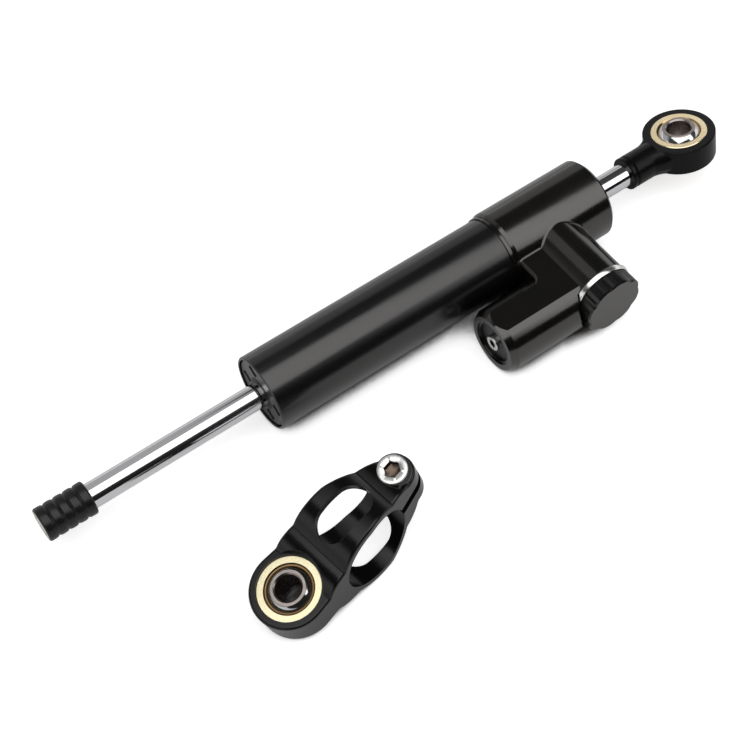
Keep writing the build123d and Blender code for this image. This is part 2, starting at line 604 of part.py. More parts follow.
def reservoir_pieces():
    """Everything that goes into the barrel."""
    r = BARREL_BORE_DIA / 2
    seat = PLUG_FRONT + FILL_HEAD_HEIGHT / 2
    washer = FILL_HEAD_HEIGHT / 4
    head_front = seat - washer - FILL_HEAD_HEIGHT
    screw = shaft(FILL_HEAD_DIA / 2, head_front, head_front + FILL_HEAD_HEIGHT)
    screw += shaft(FILL_SCREW_DIA / 2, head_front, head_front + FILL_SCREW_LENGTH)
    screw -= hex_socket(FILL_SOCKET, FILL_HEAD_HEIGHT, head_front - FILL_HEAD_HEIGHT / 3)
    float_front = PLUG_REAR + FLOAT_ROOM
    float_rear = float_front + FLOAT_LENGTH
    float_r = r - RUN_FIT
    wall = r / 4
    floating = turned([(float_front, 0), (float_front, float_r), (float_rear, float_r),
                       (float_rear, float_r - wall), (float_rear - FLOAT_LENGTH / 3, float_r - wall),
                       (float_rear - FLOAT_LENGTH / 3, 0)])
    middle = (float_front + float_rear) / 2
    floating -= cord_groove(float_r, FLOAT_CORD_DIA, middle)
    return {
        "reservoir_plug": reservoir_plug(),
        "reservoir_plug_oring": BARREL * cord_ring(r - SEAT_FIT - SEAL_FIT - PLUG_CORD_DIA, PLUG_CORD_DIA,
                                                   (PLUG_FRONT + PLUG_REAR) / 2),
        "reservoir_circlip": BARREL * Rot(CIRCLIP_TURN, 0, 0) * split_ring(
            r + CIRCLIP_DEPTH - SEAT_FIT - CIRCLIP_WIDTH, r + CIRCLIP_DEPTH - SEAT_FIT,
            PLUG_FRONT - CIRCLIP_THICK, PLUG_FRONT, CIRCLIP_GAP),
        "fill_screw": BARREL * screw,
        "fill_screw_washer": BARREL * sleeve(FILL_SCREW_DIA / 2 + SEAT_FIT, FILL_HEAD_DIA / 2,
                                             seat - washer, seat),
        "floating_piston": BARREL * floating,
        "floating_piston_oring": BARREL * cord_ring(float_r - SEAL_FIT - FLOAT_CORD_DIA, FLOAT_CORD_DIA,
                                                    middle)}


# Adjuster, built along the neck: local X is the distance from the rod's axis
CARTRIDGE_PORT = CARTRIDGE_LENGTH / 4
FLANGE_INNER = NECK_REACH - SPINDLE_FLANGE - FACE_GAP
SPINDLE_INNER = CARTRIDGE_INNER + SPINDLE_SETBACK
KNOB_INNER = NECK_REACH + COLLAR_THICK + FACE_GAP
KNOB_OUTER = KNOB_INNER + KNOB_THICK
SPINDLE_OUTER = KNOB_OUTER - KNOB_SKIN
NEEDLE_OUTER = FLANGE_INNER - NEEDLE_HEAD_ROOM
NEEDLE_INNER = CARTRIDGE_INNER - SEAT_THICK
NEEDLE_CONE = CARTRIDGE_INNER + NEEDLE_TRAVEL + NEEDLE_LAND


def valve_cartridge():
    """Brass cartridge: a bore for spindle and needle, a sealing groove and a cross port."""
    r = CARTRIDGE_DIA / 2
    spindle = SPINDLE_DIA / 2 + RUN_FIT
    needle = NEEDLE_DIA / 2 + RUN_FIT
    flange = SPINDLE_FLANGE_DIA / 2 + RUN_FIT
    floor = SPINDLE_INNER - FACE_GAP
    body = turned([(CARTRIDGE_INNER, needle), (CARTRIDGE_INNER, r), (NECK_REACH, r), (NECK_REACH, flange),
                   (FLANGE_INNER - FACE_GAP, flange), (FLANGE_INNER - FACE_GAP, spindle), (floor, spindle),
                   (floor, needle)])
    seal = cord_place()
    body -= cord_groove(r, CARTRIDGE_CORD_DIA, (CARTRIDGE_INNER + NECK_REACH) / 2)
    body -= sleeve(spindle - RUN_FIT, spindle + SPINDLE_CORD_DIA + SEAL_FIT,
                   seal - SPINDLE_CORD_DIA / 2 - SEAL_FIT, seal + SPINDLE_CORD_DIA / 2 + SEAL_FIT)
    port = Pos(CARTRIDGE_INNER + CARTRIDGE_PORT, 0, 0) * Rot(90, 0, 0) * Cylinder(PORT_DIA / 2, CARTRIDGE_DIA)
    return body - port


def cord_place():
    """Middle of the spindle's sealing ring."""
    return (SPINDLE_INNER + FLANGE_INNER) / 2


def spindle():
    """Spindle with a flange under the collar and a thread that drives the needle."""
    r = SPINDLE_DIA / 2
    flange = SPINDLE_FLANGE_DIA / 2
    thread = NEEDLE_DIA / 2 + RUN_FIT
    deep = NEEDLE_OUTER + NEEDLE_HEAD_ROOM
    return turned([(SPINDLE_INNER, thread), (SPINDLE_INNER, r), (FLANGE_INNER, r), (FLANGE_INNER, flange),
                   (FLANGE_INNER + SPINDLE_FLANGE, flange), (FLANGE_INNER + SPINDLE_FLANGE, r),
                   (SPINDLE_OUTER, r), (SPINDLE_OUTER, 0), (deep, 0), (deep, thread)])


def needle():
    """Needle whose fine tip throttles the flow through the seat."""
    r = NEEDLE_DIA / 2
    tip = NEEDLE_TIP_DIA / 2
    return turned([(NEEDLE_INNER, 0), (NEEDLE_INNER, tip / 2), (NEEDLE_INNER + tip / 2, tip),
                   (NEEDLE_CONE, tip), (NEEDLE_CONE + r - tip, r), (NEEDLE_OUTER, r), (NEEDLE_OUTER, 0)])


def collar():
    """Silver collar between neck and knob, with the track that the click ball runs in."""
    r = COLLAR_DIA / 2
    outer = NECK_REACH + COLLAR_THICK
    ring = turned([(NECK_REACH, SPINDLE_DIA / 2 + RUN_FIT), (NECK_REACH, r), (outer - COLLAR_EDGE, r),
                   (outer, r - COLLAR_EDGE), (outer, SPINDLE_DIA / 2 + RUN_FIT)])
    track = DETENT_BALL_DIA / 2 + RUN_FIT
    return ring - sleeve(DETENT_RADIUS - track, DETENT_RADIUS + track, outer - DETENT_DEPTH, outer + OVERRUN)


def knob():
    """Knob with flats and hollows, a blind bore for the spindle, a grub hole and a click ball pocket."""
    flats = RegularPolygon(KNOB_ACROSS / 2, side_count=KNOB_FLATS, major_radius=False)
    outline = Circle(KNOB_DIA / 2) & flats
    flute_place = (KNOB_DIA + KNOB_FLUTE_DIA) / 2 - KNOB_FLUTE_DEPTH
    for count in range(KNOB_FLATS):
        turn = 180 / KNOB_FLATS * (2 * count + 1)
        outline -= Rot(0, 0, turn) * Pos(flute_place, 0) * Circle(KNOB_FLUTE_DIA / 2)
    prism = Rot(0, 0, knob_turn()) * extrude(outline, KNOB_THICK)
    prism = chamfer(prism.faces().sort_by(Axis.Z)[-1].edges(), KNOB_EDGE)
    body = Pos(KNOB_INNER, 0, 0) * Rot(0, 90, 0) * prism
    body -= shaft(SPINDLE_DIA / 2 + SEAT_FIT, KNOB_INNER - OVERRUN, SPINDLE_OUTER + SEAT_FIT)
    pocket = DETENT_BALL_DIA / 2 + SEAT_FIT
    body -= Pos(0, DETENT_RADIUS, 0) * shaft(pocket, KNOB_INNER - OVERRUN, SPINDLE_OUTER)
    return body - grub_place() * shaft(GRUB_DIA / 2 + SEAT_FIT, 0, KNOB_ACROSS)


def knob_turn():
    """Turn of the knob's outline about its own axis, in degrees, which stands a hollow at its place."""
    return KNOB_TURN - 180 / KNOB_FLATS


def grub_place():
    """Frame of the grub screw: it points away from the spindle, below the knob."""
    return Pos((KNOB_INNER + KNOB_OUTER) / 2, 0, 0) * Rot(0, 90, 0)


def adjuster_pieces():
    """Everything on the neck, from the seat outwards."""
    ball_place = NECK_REACH + COLLAR_THICK - DETENT_DEPTH + DETENT_BALL_DIA / 2 + RUN_FIT
    spring_r = DETENT_BALL_DIA / 2
    spring_start = ball_place + sqrt(spring_r ** 2 - (spring_r - DETENT_SPRING_WALL) ** 2) + SEAT_FIT
    click_ball = Pos(ball_place, DETENT_RADIUS, 0) * Sphere(DETENT_BALL_DIA / 2)
    spring = sleeve(spring_r - DETENT_SPRING_WALL, spring_r, spring_start, SPINDLE_OUTER)
    grub = shaft(GRUB_DIA / 2, SPINDLE_DIA / 2 + SEAT_FIT, SPINDLE_DIA / 2 + GRUB_LENGTH)
    grub -= hex_socket(GRUB_SOCKET, GRUB_LENGTH, SPINDLE_DIA / 2 + GRUB_LENGTH / 2)
    seat = sleeve(SEAT_BORE_DIA / 2, CARTRIDGE_DIA / 2, CARTRIDGE_INNER - SEAT_THICK, CARTRIDGE_INNER)
    pieces = {
        "valve_seat": seat,
        "valve_cartridge": valve_cartridge(),
        "valve_cartridge_oring": cord_ring(CARTRIDGE_DIA / 2 - SEAL_FIT - CARTRIDGE_CORD_DIA,
                                           CARTRIDGE_CORD_DIA, (CARTRIDGE_INNER + NECK_REACH) / 2),
        "spindle_oring": cord_ring(SPINDLE_DIA / 2 + RUN_FIT, SPINDLE_CORD_DIA, cord_place()),
        "knob_collar": collar(),
        "adjuster_knob": knob(),
        "adjuster_spindle": spindle(),
        "needle_valve": needle(),
        "click_ball": click_ball,
        "click_spring": Pos(0, DETENT_RADIUS, 0) * spring,
        "knob_grub_screw": grub_place() * grub}
    return {name: NECK * piece for name, piece in pieces.items()}


# Clamp bracket, built about its own eye: local X points to the bolt, local Z is the eye's axis
CLAMP_BORE_DIA = TUBE_DIA
CLAMP_SPOT_DIA = CLAMP_RACE_DIA + 2 * CLAMP_SPOT_STEP
CLAMP_EYE_DIA = CLAMP_SPOT_DIA + 2 * CLAMP_EYE_WALL
CLAMP_EYE_TO_RING = CLAMP_RACE_DIA / 2 + CLAMP_BRIDGE + CLAMP_BORE_DIA / 2
CLAMP_EYE_TO_BOLT = CLAMP_EYE_TO_RING + CLAMP_BORE_DIA / 2 + CLAMP_BOLT_SET
BOLT_BOSS_DIA = BOLT_HEAD_DIA + 2 * BOLT_BOSS_WALL
CLAMP_LIP_WIDTH = BOLT_BOSS_DIA + 2 * CLAMP_LIP_STEP
CLAMP_R = CLAMP_BORE_DIA / 2 + CLAMP_WALL
CLAMP_EYE_HALF = CLAMP_EYE_THICK / 2
CLAMP_LIP_HALF = CLAMP_SLIT / 2 + CLAMP_LIP_THICK
BOSS_TOP = CLAMP_LIP_HALF + BOLT_BOSS_RISE
BOLT_SEAT = BOSS_TOP + BOLT_HEAD_SHOW - BOLT_HEAD_HEIGHT


def clamp_frame():
    """Place of the bracket on the table: it rests on its ring and on the edge of its eye."""
    reach = CLAMP_EYE_TO_RING + CLAMP_EYE_DIA / 2
    tilt = asin(CLAMP_R / hypot(reach, CLAMP_EYE_HALF)) - atan2(CLAMP_EYE_HALF, reach)
    rise = CLAMP_R - CLAMP_EYE_TO_RING * sin(tilt)
    x, y = CLAMP_PLACE
    return Pos(x, y, FLOOR_Z + rise) * Rot(0, 0, CLAMP_HEADING) * Rot(0, -degrees(tilt), 0)


def clamp_side_half():
    """Upper half of the bracket's side view: eye, hollow, ring and lip."""
    eye = CLAMP_EYE_HALF
    ring_x = CLAMP_EYE_TO_RING
    hollow = CLAMP_HOLLOW
    front_x = ring_x - sqrt((CLAMP_R + hollow) ** 2 - (eye + hollow) ** 2)
    back_x = ring_x + sqrt((CLAMP_R + hollow) ** 2 - (CLAMP_LIP_HALF + hollow) ** 2)
    share = CLAMP_R / (CLAMP_R + hollow)
    front_touch = (ring_x + (front_x - ring_x) * share, (eye + hollow) * share)
    back_touch = (ring_x + (back_x - ring_x) * share, (CLAMP_LIP_HALF + hollow) * share)
    start = -CLAMP_EYE_DIA
    end = CLAMP_EYE_TO_BOLT + CLAMP_EYE_DIA
    lines = Polyline((back_x, CLAMP_LIP_HALF), (end, CLAMP_LIP_HALF), (end, 0), (start, 0), (start, eye),
                     (front_x, eye))
    front_arc = RadiusArc((front_x, eye), front_touch, hollow)
    crest = ThreePointArc(front_touch, (ring_x, CLAMP_R), back_touch)
    back_arc = RadiusArc(back_touch, (back_x, CLAMP_LIP_HALF), hollow)
    return make_face(lines + front_arc + crest + back_arc)


def clamp_blank():
    """Bracket before its holes: the side view and the plan view cut from one bar."""
    side = Rot(90, 0, 0) * extrude(clamp_side_half(), CLAMP_EYE_DIA, both=True)
    side += mirror(side, Plane.XY)
    eye = Circle(CLAMP_EYE_DIA / 2)
    middle = Pos(CLAMP_EYE_TO_RING, 0) * Circle(CLAMP_WIDTH / 2)
    end = Pos(CLAMP_EYE_TO_BOLT, 0) * Circle(CLAMP_LIP_WIDTH / 2)
    plan = make_hull((eye + middle).edges()) + make_hull((middle + end).edges())
    blank = side & extrude(plan, CLAMP_R + OVERRUN, both=True)
    blank = fillet(blank.edges(), CLAMP_EDGE)
    boss = Cylinder(BOLT_BOSS_DIA / 2, BOSS_TOP, align=(Align.CENTER, Align.CENTER, Align.MIN))
    return blank + Pos(CLAMP_EYE_TO_BOLT, 0, 0) * boss


def clamp_bracket():
    """Clamp with its eye bore, ring bore, two windows, slit and bolt hole."""
    body = clamp_blank()
    tall = 2 * (CLAMP_R + OVERRUN)
    spot = Cylinder(CLAMP_SPOT_DIA / 2, CLAMP_R, align=(Align.CENTER, Align.CENTER, Align.MIN))
    body -= Pos(0, 0, CLAMP_EYE_HALF) * spot
    body -= Pos(0, 0, -CLAMP_EYE_HALF - CLAMP_R) * spot
    race_r = CLAMP_RACE_DIA / 2 + SEAT_FIT
    body -= Cylinder(race_r, tall)
    body -= Pos(CLAMP_EYE_TO_RING, 0, 0) * Rot(90, 0, 0) * Cylinder(CLAMP_BORE_DIA / 2, 2 * CLAMP_EYE_DIA)
    window = SlotOverall(CLAMP_WINDOW_LENGTH, CLAMP_WINDOW_WIDTH)
    body -= Pos(CLAMP_EYE_TO_RING, 0, 0) * extrude(window, tall / 2, both=True)
    slit = Box(CLAMP_EYE_TO_BOLT, 2 * CLAMP_LIP_WIDTH, CLAMP_SLIT,
               align=(Align.MIN, Align.CENTER, Align.CENTER))
    body -= Pos(CLAMP_EYE_TO_RING, 0, 0) * slit
    bolt = Pos(CLAMP_EYE_TO_BOLT, 0, 0)
    upward = (Align.CENTER, Align.CENTER, Align.MIN)
    body -= bolt * Cylinder(BOLT_DIA / 2 + BOLT_CLEARANCE, tall, align=upward)
    body -= bolt * Cylinder(BOLT_DIA / 2 + SEAT_FIT, tall)
    body -= bolt * Pos(0, 0, BOLT_SEAT) * Cylinder(BOLT_HEAD_DIA / 2 + SEAT_FIT, tall, align=upward)
    return body


def clamp_bolt():
    """Socket head bolt that closes the clamp."""
    low = -CLAMP_LIP_HALF
    shank = BOLT_DIA / 2
    head = BOLT_HEAD_DIA / 2
    top = BOLT_SEAT + BOLT_HEAD_HEIGHT
    bolt = Rot(0, -90, 0) * turned([
        (low, 0), (low, shank - ROD_EDGE), (low + ROD_EDGE, shank), (BOLT_SEAT, shank), (BOLT_SEAT, head),
        (top - ROD_EDGE, head), (top, head - ROD_EDGE), (top, 0)])
    socket = extrude(RegularPolygon(BOLT_SOCKET / 2, side_count=6, major_radius=False), BOLT_HEAD_HEIGHT)
    bolt -= Pos(0, 0, top - BOLT_HEAD_HEIGHT / 2) * socket
    return Pos(CLAMP_EYE_TO_BOLT, 0, 0) * bolt


def clamp_pieces():
    """Bracket, bolt, race and ball in place on the table."""
    frame = clamp_frame()
    return {
        "clamp_bracket": frame * clamp_bracket(),
        "clamp_bolt": frame * clamp_bolt(),
        "clamp_race": frame * race(CLAMP_RACE_DIA / 2, CLAMP_EYE_HALF - CLAMP_RACE_DEPTH),
        "clamp_ball": frame * ball()}


def all_pieces():
    """Every piece of the damper and its bracket by node name."""
    pieces = {
        "cylinder_tube": cylinder_tube(),
        "head_housing": head_housing(),
        "tube_oring": cord_ring(TUBE_DIA / 2 - SEAL_FIT - GUIDE_CORD_DIA, GUIDE_CORD_DIA, TUBE_SEAL_X),
        "piston_rod": piston_rod(),
        "piston": piston(),
        "piston_ring": piston_ring(),
        "piston_clips": piston_clips(),
        "end_stop": end_stop(),
        "rod_eye": rod_eye(),
        "rod_eye_race": EYE * race(EYE_RACE_DIA / 2, EYE_THICK / 2 + RACE_PROUD),
        "rod_eye_ball": EYE * ball()}
    pieces.update(guides())
    pieces.update(reservoir_pieces())
    pieces.update(adjuster_pieces())
    pieces.update(clamp_pieces())
    return pieces


os.makedirs("parts", exist_ok=True)
for node, solid in all_pieces().items():
    export_step(solid, "parts/" + node + ".step")
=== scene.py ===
import logging
import math
from dataclasses import dataclass, replace
from enum import Enum

import bmesh
import bpy
from mathutils import Matrix, Vector


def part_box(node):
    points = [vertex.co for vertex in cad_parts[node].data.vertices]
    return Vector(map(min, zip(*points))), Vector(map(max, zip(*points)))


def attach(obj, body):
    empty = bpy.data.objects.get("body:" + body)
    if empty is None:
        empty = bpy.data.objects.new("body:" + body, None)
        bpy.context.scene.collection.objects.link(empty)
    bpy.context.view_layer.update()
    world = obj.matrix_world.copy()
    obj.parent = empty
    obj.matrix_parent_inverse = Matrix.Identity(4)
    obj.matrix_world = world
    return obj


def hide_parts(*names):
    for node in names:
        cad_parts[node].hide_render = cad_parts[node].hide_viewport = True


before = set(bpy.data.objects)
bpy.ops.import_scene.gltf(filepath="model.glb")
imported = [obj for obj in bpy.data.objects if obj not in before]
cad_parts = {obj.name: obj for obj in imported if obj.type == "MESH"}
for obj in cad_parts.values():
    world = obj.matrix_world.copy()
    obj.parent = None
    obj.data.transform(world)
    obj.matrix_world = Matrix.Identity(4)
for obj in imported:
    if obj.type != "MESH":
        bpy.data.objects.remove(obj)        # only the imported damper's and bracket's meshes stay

# Looks of a motorcycle steering damper and its loose clamp bracket, in the imported part's frame, in metres.
# X runs along the rod towards the rod eye, Z is up and the adjuster points to -Y.
# The origin is the middle of the rod eye's ball.

logging.basicConfig(level=logging.INFO, format="%(message)s")
log = logging.getLogger("damper")

MM = 0.001
# Corners this near to a place count as being at it, in millimetres
CLOSE = 0.01
# Corners of one mesh this near to each other are merged, in millimetres
MERGE = 0.0005
# Half of a hexagon across its corners, over half of it across its flats
HEX_CORNER = 1.155
# The wave texture repeats after this many units at a scale of 1
WAVE_REPEAT = 0.314
# An end's own colour starts and is full this far behind its face, in millimetres
END_STARTS, END_FULL = 0.06, 0.02
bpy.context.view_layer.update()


def linear(colour: str) -> tuple[float, float, float, float]:
    """Turns an sRGB hex colour to linear RGBA.

    Args:
        colour: Colour as "#rrggbb".

    Returns:
        Linear red, green, blue and an alpha of 1.
    """
    parts = [int(colour[i:i + 2], 16) / 255 for i in (1, 3, 5)]
    return (*(c / 12.92 if c <= 0.04045 else ((c + 0.055) / 1.055) ** 2.4 for c in parts), 1.0)


def add_node(tree: bpy.types.NodeTree, kind: str, inputs: dict | None = None,
             **settings: object) -> bpy.types.Node:
    """Adds one node with its settings and links.

    Args:
        tree: Node tree that gets it.
        kind: Blender's name of the node.
        inputs: Socket name or number to a value, or to the output socket that feeds it.
        settings: Attributes of the node.

    Returns:
        The new node.
    """
    node = tree.nodes.new(kind)
    for name, value in settings.items():
        setattr(node, name, value)
    for key, value in (inputs or {}).items():
        if isinstance(value, bpy.types.NodeSocket):
            tree.links.new(value, node.inputs[key])
        else:
            node.inputs[key].default_value = value
    return node


class Lay(Enum):
    """How a surface's fine marks run."""

    RINGS = "turned marks round the piece's axis, on its faces"
    BANDS = "turned marks round the piece's axis, along its length"
    BLASTED = "even grain of fine blasting"
    MOULDED = "soft, low orange peel"
    POLISHED = "polished, with faint hairlines"


@dataclass(frozen=True)
class Finish:
    """One real surface: what it is made of, and the marks that its making left.

    colour and worn are the two sRGB colours that patches of the given width mix, in millimetres. film tints
    what the surface's coat reflects and specular says how strongly. mark is the width of the marks in
    millimetres and depth is how strongly they show. Real turned marks and blasting grain are 0.02 to 0.1 mm
    wide, too fine to show here, so they are drawn several times as coarse. place and turn put the marks' axis
    along the piece's own. An end colour covers the face that points to -Y, at end_place in millimetres.
    """

    name: str
    colour: str
    worn: str
    metallic: float = 0.0
    roughness: float = 0.3
    spread: float = 0.06
    ior: float = 1.5
    specular: float = 0.5
    film: str = "#ffffff"
    lay: Lay = Lay.POLISHED
    mark: float = 0.3
    depth: float = 0.05
    patch: float = 12.0
    turn: tuple[float, float, float] = (0.0, 0.0, 0.0)
    place: tuple[float, float, float] = (0.0, 0.0, 0.0)
    end_colour: str = ""
    end_place: float = 0.0

    def material(self) -> bpy.types.Material:
        """Builds the material.

        Returns:
            A material with its own colour variation, roughness patches and bump.
        """
        made = bpy.data.materials.new(self.name)
        made.use_nodes = True
        tree = made.node_tree
        tree.nodes.clear()
        where = add_node(tree, "ShaderNodeTexCoord")
        centred = add_node(tree, "ShaderNodeMapping", {
            "Vector": where.outputs["Object"], "Location": self.place, "Rotation": self.turn},
            vector_type="TEXTURE")
        point = centred.outputs["Vector"]
        patches = add_node(tree, "ShaderNodeTexNoise", {
            "Vector": point, "Scale": 1 / (self.patch * MM), "Detail": 3.0, "Roughness": 0.55})
        tint = add_node(tree, "ShaderNodeMix", {
            0: patches.outputs["Fac"], 6: linear(self.colour), 7: linear(self.worn)}, data_type="RGBA")
        if self.end_colour:
            tint = self.ended(tree, where.outputs["Object"], tint.outputs[2])
        marks = self.marks(tree, point)
        uneven = add_node(tree, "ShaderNodeMath", {0: patches.outputs["Fac"], 1: marks}, operation="ADD")
        rough = add_node(tree, "ShaderNodeMapRange", {
            "Value": uneven.outputs[0], "From Min": 0.5, "From Max": 1.5,
            "To Min": max(self.roughness - self.spread, 0.02), "To Max": self.roughness + self.spread})
        bump = add_node(tree, "ShaderNodeBump", {
            "Height": marks, "Strength": self.depth, "Distance": self.mark * MM})
        shader = add_node(tree, "ShaderNodeBsdfPrincipled", {
            "Base Color": tint.outputs[2], "Roughness": rough.outputs[0], "Normal": bump.outputs[0],
            "Metallic": self.metallic, "IOR": self.ior, "Specular IOR Level": self.specular,
            "Specular Tint": linear(self.film)})
        add_node(tree, "ShaderNodeOutputMaterial", {"Surface": shader.outputs[0]})
        return made

    def ended(self, tree: bpy.types.NodeTree, point: bpy.types.NodeSocket,
              side: bpy.types.NodeSocket) -> bpy.types.Node:
        """Gives the end that points to -Y its own colour.

        Args:
            tree: The material's node tree.
            point: Object coordinates.
            side: Colour of all the rest.

        Returns:
            The mixing node.
        """
        parts = add_node(tree, "ShaderNodeSeparateXYZ", {0: point})
        at_end = add_node(tree, "ShaderNodeMapRange", {
            "Value": parts.outputs["Y"], "From Min": (self.end_place + END_STARTS) * MM,
            "From Max": (self.end_place + END_FULL) * MM})
        return add_node(tree, "ShaderNodeMix", {
            0: at_end.outputs[0], 6: side, 7: linear(self.end_colour)}, data_type="RGBA")

    def marks(self, tree: bpy.types.NodeTree, point: bpy.types.NodeSocket) -> bpy.types.NodeSocket:
        """Pattern of the fine marks.

        Args:
            tree: The material's node tree.
            point: Object coordinates, centred on the piece.

        Returns:
            Output socket with a value from 0 to 1.
        """
        per_mark = 1 / (self.mark * MM)
        if self.lay in (Lay.RINGS, Lay.BANDS):
            kind = "RINGS" if self.lay is Lay.RINGS else "BANDS"
            wave = add_node(tree, "ShaderNodeTexWave", {
                "Vector": point, "Scale": per_mark * WAVE_REPEAT, "Distortion": 1.2, "Detail": 2.0,
                "Detail Scale": 0.6}, wave_type=kind, rings_direction="X", bands_direction="X")
            return wave.outputs["Fac"]
        if self.lay is Lay.POLISHED:
            # Polishing leaves hairlines 25 times as long as they are wide, drawn out along the piece
            drawn = add_node(tree, "ShaderNodeMapping", {"Vector": point, "Scale": (0.04, 1.0, 1.0)})
            point = drawn.outputs["Vector"]
        grain = add_node(tree, "ShaderNodeTexNoise", {
            "Vector": point, "Scale": per_mark, "Detail": 2.0, "Roughness": 0.6})
        return grain.outputs["Fac"]


# Hard anodised aluminium, dyed black and sealed: a glassy dark film, so reflections are sharp but dim
TUBE_BLACK = Finish("hard_anodised_tube", "#060607", "#0b0b0c", film="#fffdfb", roughness=0.22, spread=0.04,
                    ior=1.66, lay=Lay.POLISHED, mark=0.5, depth=0.02, patch=30.0)
# The same coat on a finely milled and blasted head: a little glossier, with a warmer film
HEAD_BLACK = Finish("hard_anodised_head", "#070606", "#0c0b0a", film="#fffcf8", roughness=0.16, spread=0.05,
                    ior=1.76, lay=Lay.BLASTED, mark=0.4, depth=0.02, patch=18.0)
# Machined steel under a thin black oxide, which is dull and soaks up oil
EYE_BLACK = Finish("oxide_black_rod_eye", "#070708", "#0d0c0e", roughness=0.28, spread=0.05, ior=1.5,
                   specular=0.16, lay=Lay.BLASTED, mark=0.3, depth=0.05, patch=8.0)
# Milled and bead blasted before anodising: the dyed film over pitted metal soaks up most light
BRACKET_BLACK = Finish("blasted_anodised_bracket", "#070607", "#0c0b0c", roughness=0.18, spread=0.05, ior=1.5,
                       specular=0.32, lay=Lay.BLASTED, mark=0.25, depth=0.08, patch=9.0)
# Hard chrome, ground and polished along the rod: near mirror
ROD_CHROME = Finish("hard_chrome_rod", "#e2e2e4", "#dadadc", metallic=1.0, roughness=0.08, spread=0.02,
                    lay=Lay.BANDS, mark=0.5, depth=0.01, patch=20.0)
# Bearing steel, ground round and chromed: bright, with hairlines from the last polish
BALL_CHROME = Finish("chromed_bearing_steel", "#dcdcde", "#cfcfd2", metallic=1.0, roughness=0.1, spread=0.03,
                     lay=Lay.POLISHED, mark=0.4, depth=0.01, patch=4.0)
# The ends are ground after plating, which leaves them greyer
BALL_END = Finish("ground_steel_ball_end", "#a89f9a", "#8d8480", metallic=1.0, roughness=0.26, spread=0.06,
                  lay=Lay.RINGS, mark=0.3, depth=0.04, patch=3.0)
# The ball's bore isn't plated: bare hardened steel, made dark brown with painted shade
BORE_SHADE_STEEL = Finish("painted_shade_bare_bore", "#262221", "#35302e", metallic=0.3, roughness=0.5, spread=0.08,
                    lay=Lay.BLASTED, mark=0.4, depth=0.06, patch=3.0)
# Brass down in the race's groove, under old oil and darkened with painted shade: dark brown and uneven
GROOVE_OIL_AND_SHADE = Finish("oiled_painted_shade_groove_brass", "#4a3620", "#2e2012", metallic=0.6, roughness=0.4, spread=0.08,
                    lay=Lay.BLASTED, mark=0.3, depth=0.05, patch=3.0)
# The ring beside the groove is set back, and painted shade makes it a darker brass than the face
RING_SHADED_BRASS = Finish("painted_shade_brass_ring", "#94774e", "#7a5f3b", metallic=1.0, roughness=0.28, spread=0.06,
                    lay=Lay.RINGS, mark=0.3, depth=0.04, patch=3.0)
# Turned brass, faced last and left bare: pale yellow, with fine rings that spread the light
RACE_BRASS = Finish("turned_brass_race", "#f4ecca", "#eadfb4", metallic=1.0, roughness=0.3, spread=0.05,
                    lay=Lay.RINGS, mark=0.3, depth=0.04, patch=5.0)
# The same brass with a finer last cut: a warmer yellow and a sharper gleam
EYE_BRASS = Finish("turned_brass_eye_race", "#ffeecb", "#f6deb0", metallic=1.0, roughness=0.2, spread=0.06,
                   lay=Lay.RINGS, mark=0.3, depth=0.05, patch=5.0)
# Turned aluminium with a dull black anodic coat: soft, low gleams along the ribs
STOP_BLACK = Finish("dull_anodised_stop", "#090909", "#111110", roughness=0.32, spread=0.08, specular=0.38,
                    lay=Lay.BANDS, mark=0.6, depth=0.02, patch=4.0)
# The stop's end, faced off after the coat: bare aluminium with turned rings
STOP_BARE = Finish("faced_bare_aluminium", "#e4dccb", "#d3cab6", metallic=1.0, roughness=0.38, spread=0.06,
                   lay=Lay.RINGS, mark=0.35, depth=0.06, patch=4.0)
# Turned aluminium, thinly anodised black: dark grey, with rings that catch a soft light
GUIDE_DARK = Finish("turned_anodised_guide", "#242425", "#303031", roughness=0.34, spread=0.06, ior=1.6,
                    lay=Lay.RINGS, mark=0.35, depth=0.06, patch=6.0)
# Turned aluminium under a thin dark coat through which the metal gleams
PLUG_GREY = Finish("turned_anodised_plug", "#1c1c1e", "#29292b", metallic=0.4, roughness=0.34, spread=0.06,
                   lay=Lay.RINGS, mark=0.35, depth=0.06, patch=6.0)
# Spring steel, phosphated and oiled: near black with a wet gleam
CLIP_BLACK = Finish("phosphated_spring_steel", "#0b0b0b", "#151514", roughness=0.22, spread=0.06, ior=1.7,
                    lay=Lay.BLASTED, mark=0.3, depth=0.05, patch=4.0)
# Bright zinc on turned steel: nearly white, slightly soft
SCREW_STEEL = Finish("bright_zinc_screw", "#ecebea", "#dbdad8", metallic=1.0, roughness=0.24, spread=0.05,
                     lay=Lay.RINGS, mark=0.3, depth=0.03, patch=4.0)
# Steel down in the screws' sockets, under brown grease and darkened with painted shade
SOCKET_GREASE_AND_SHADE_STEEL = Finish("greased_painted_shade_socket_steel", "#7a6a5d", "#4a3d36", metallic=0.9, roughness=0.3, spread=0.08,
                      lay=Lay.BLASTED, mark=0.3, depth=0.06, patch=1.6)
# Bare aluminium, finely turned: a bright silver line with a soft edge
COLLAR_SILVER = Finish("turned_aluminium_collar", "#f0f0ee", "#dfdfdd", metallic=1.0, roughness=0.2,
                       spread=0.05, lay=Lay.BANDS, mark=0.25, depth=0.04, patch=6.0)
# Milled aluminium, dyed black and glossy on its flats, with a lighter grey on the end that points to -Y
KNOB_GREY = Finish("anodised_knob", "#100f0f", "#1a1918", end_colour="#3d3b39", end_place=-38.9,
                   roughness=0.15, spread=0.05, lay=Lay.BLASTED, mark=0.3, depth=0.05, patch=7.0)
# Free-cutting brass, turned and left bare
VALVE_BRASS = Finish("turned_valve_brass", "#d8b774", "#c19c58", metallic=1.0, roughness=0.28, spread=0.06,
                     lay=Lay.RINGS, mark=0.3, depth=0.05, patch=5.0)
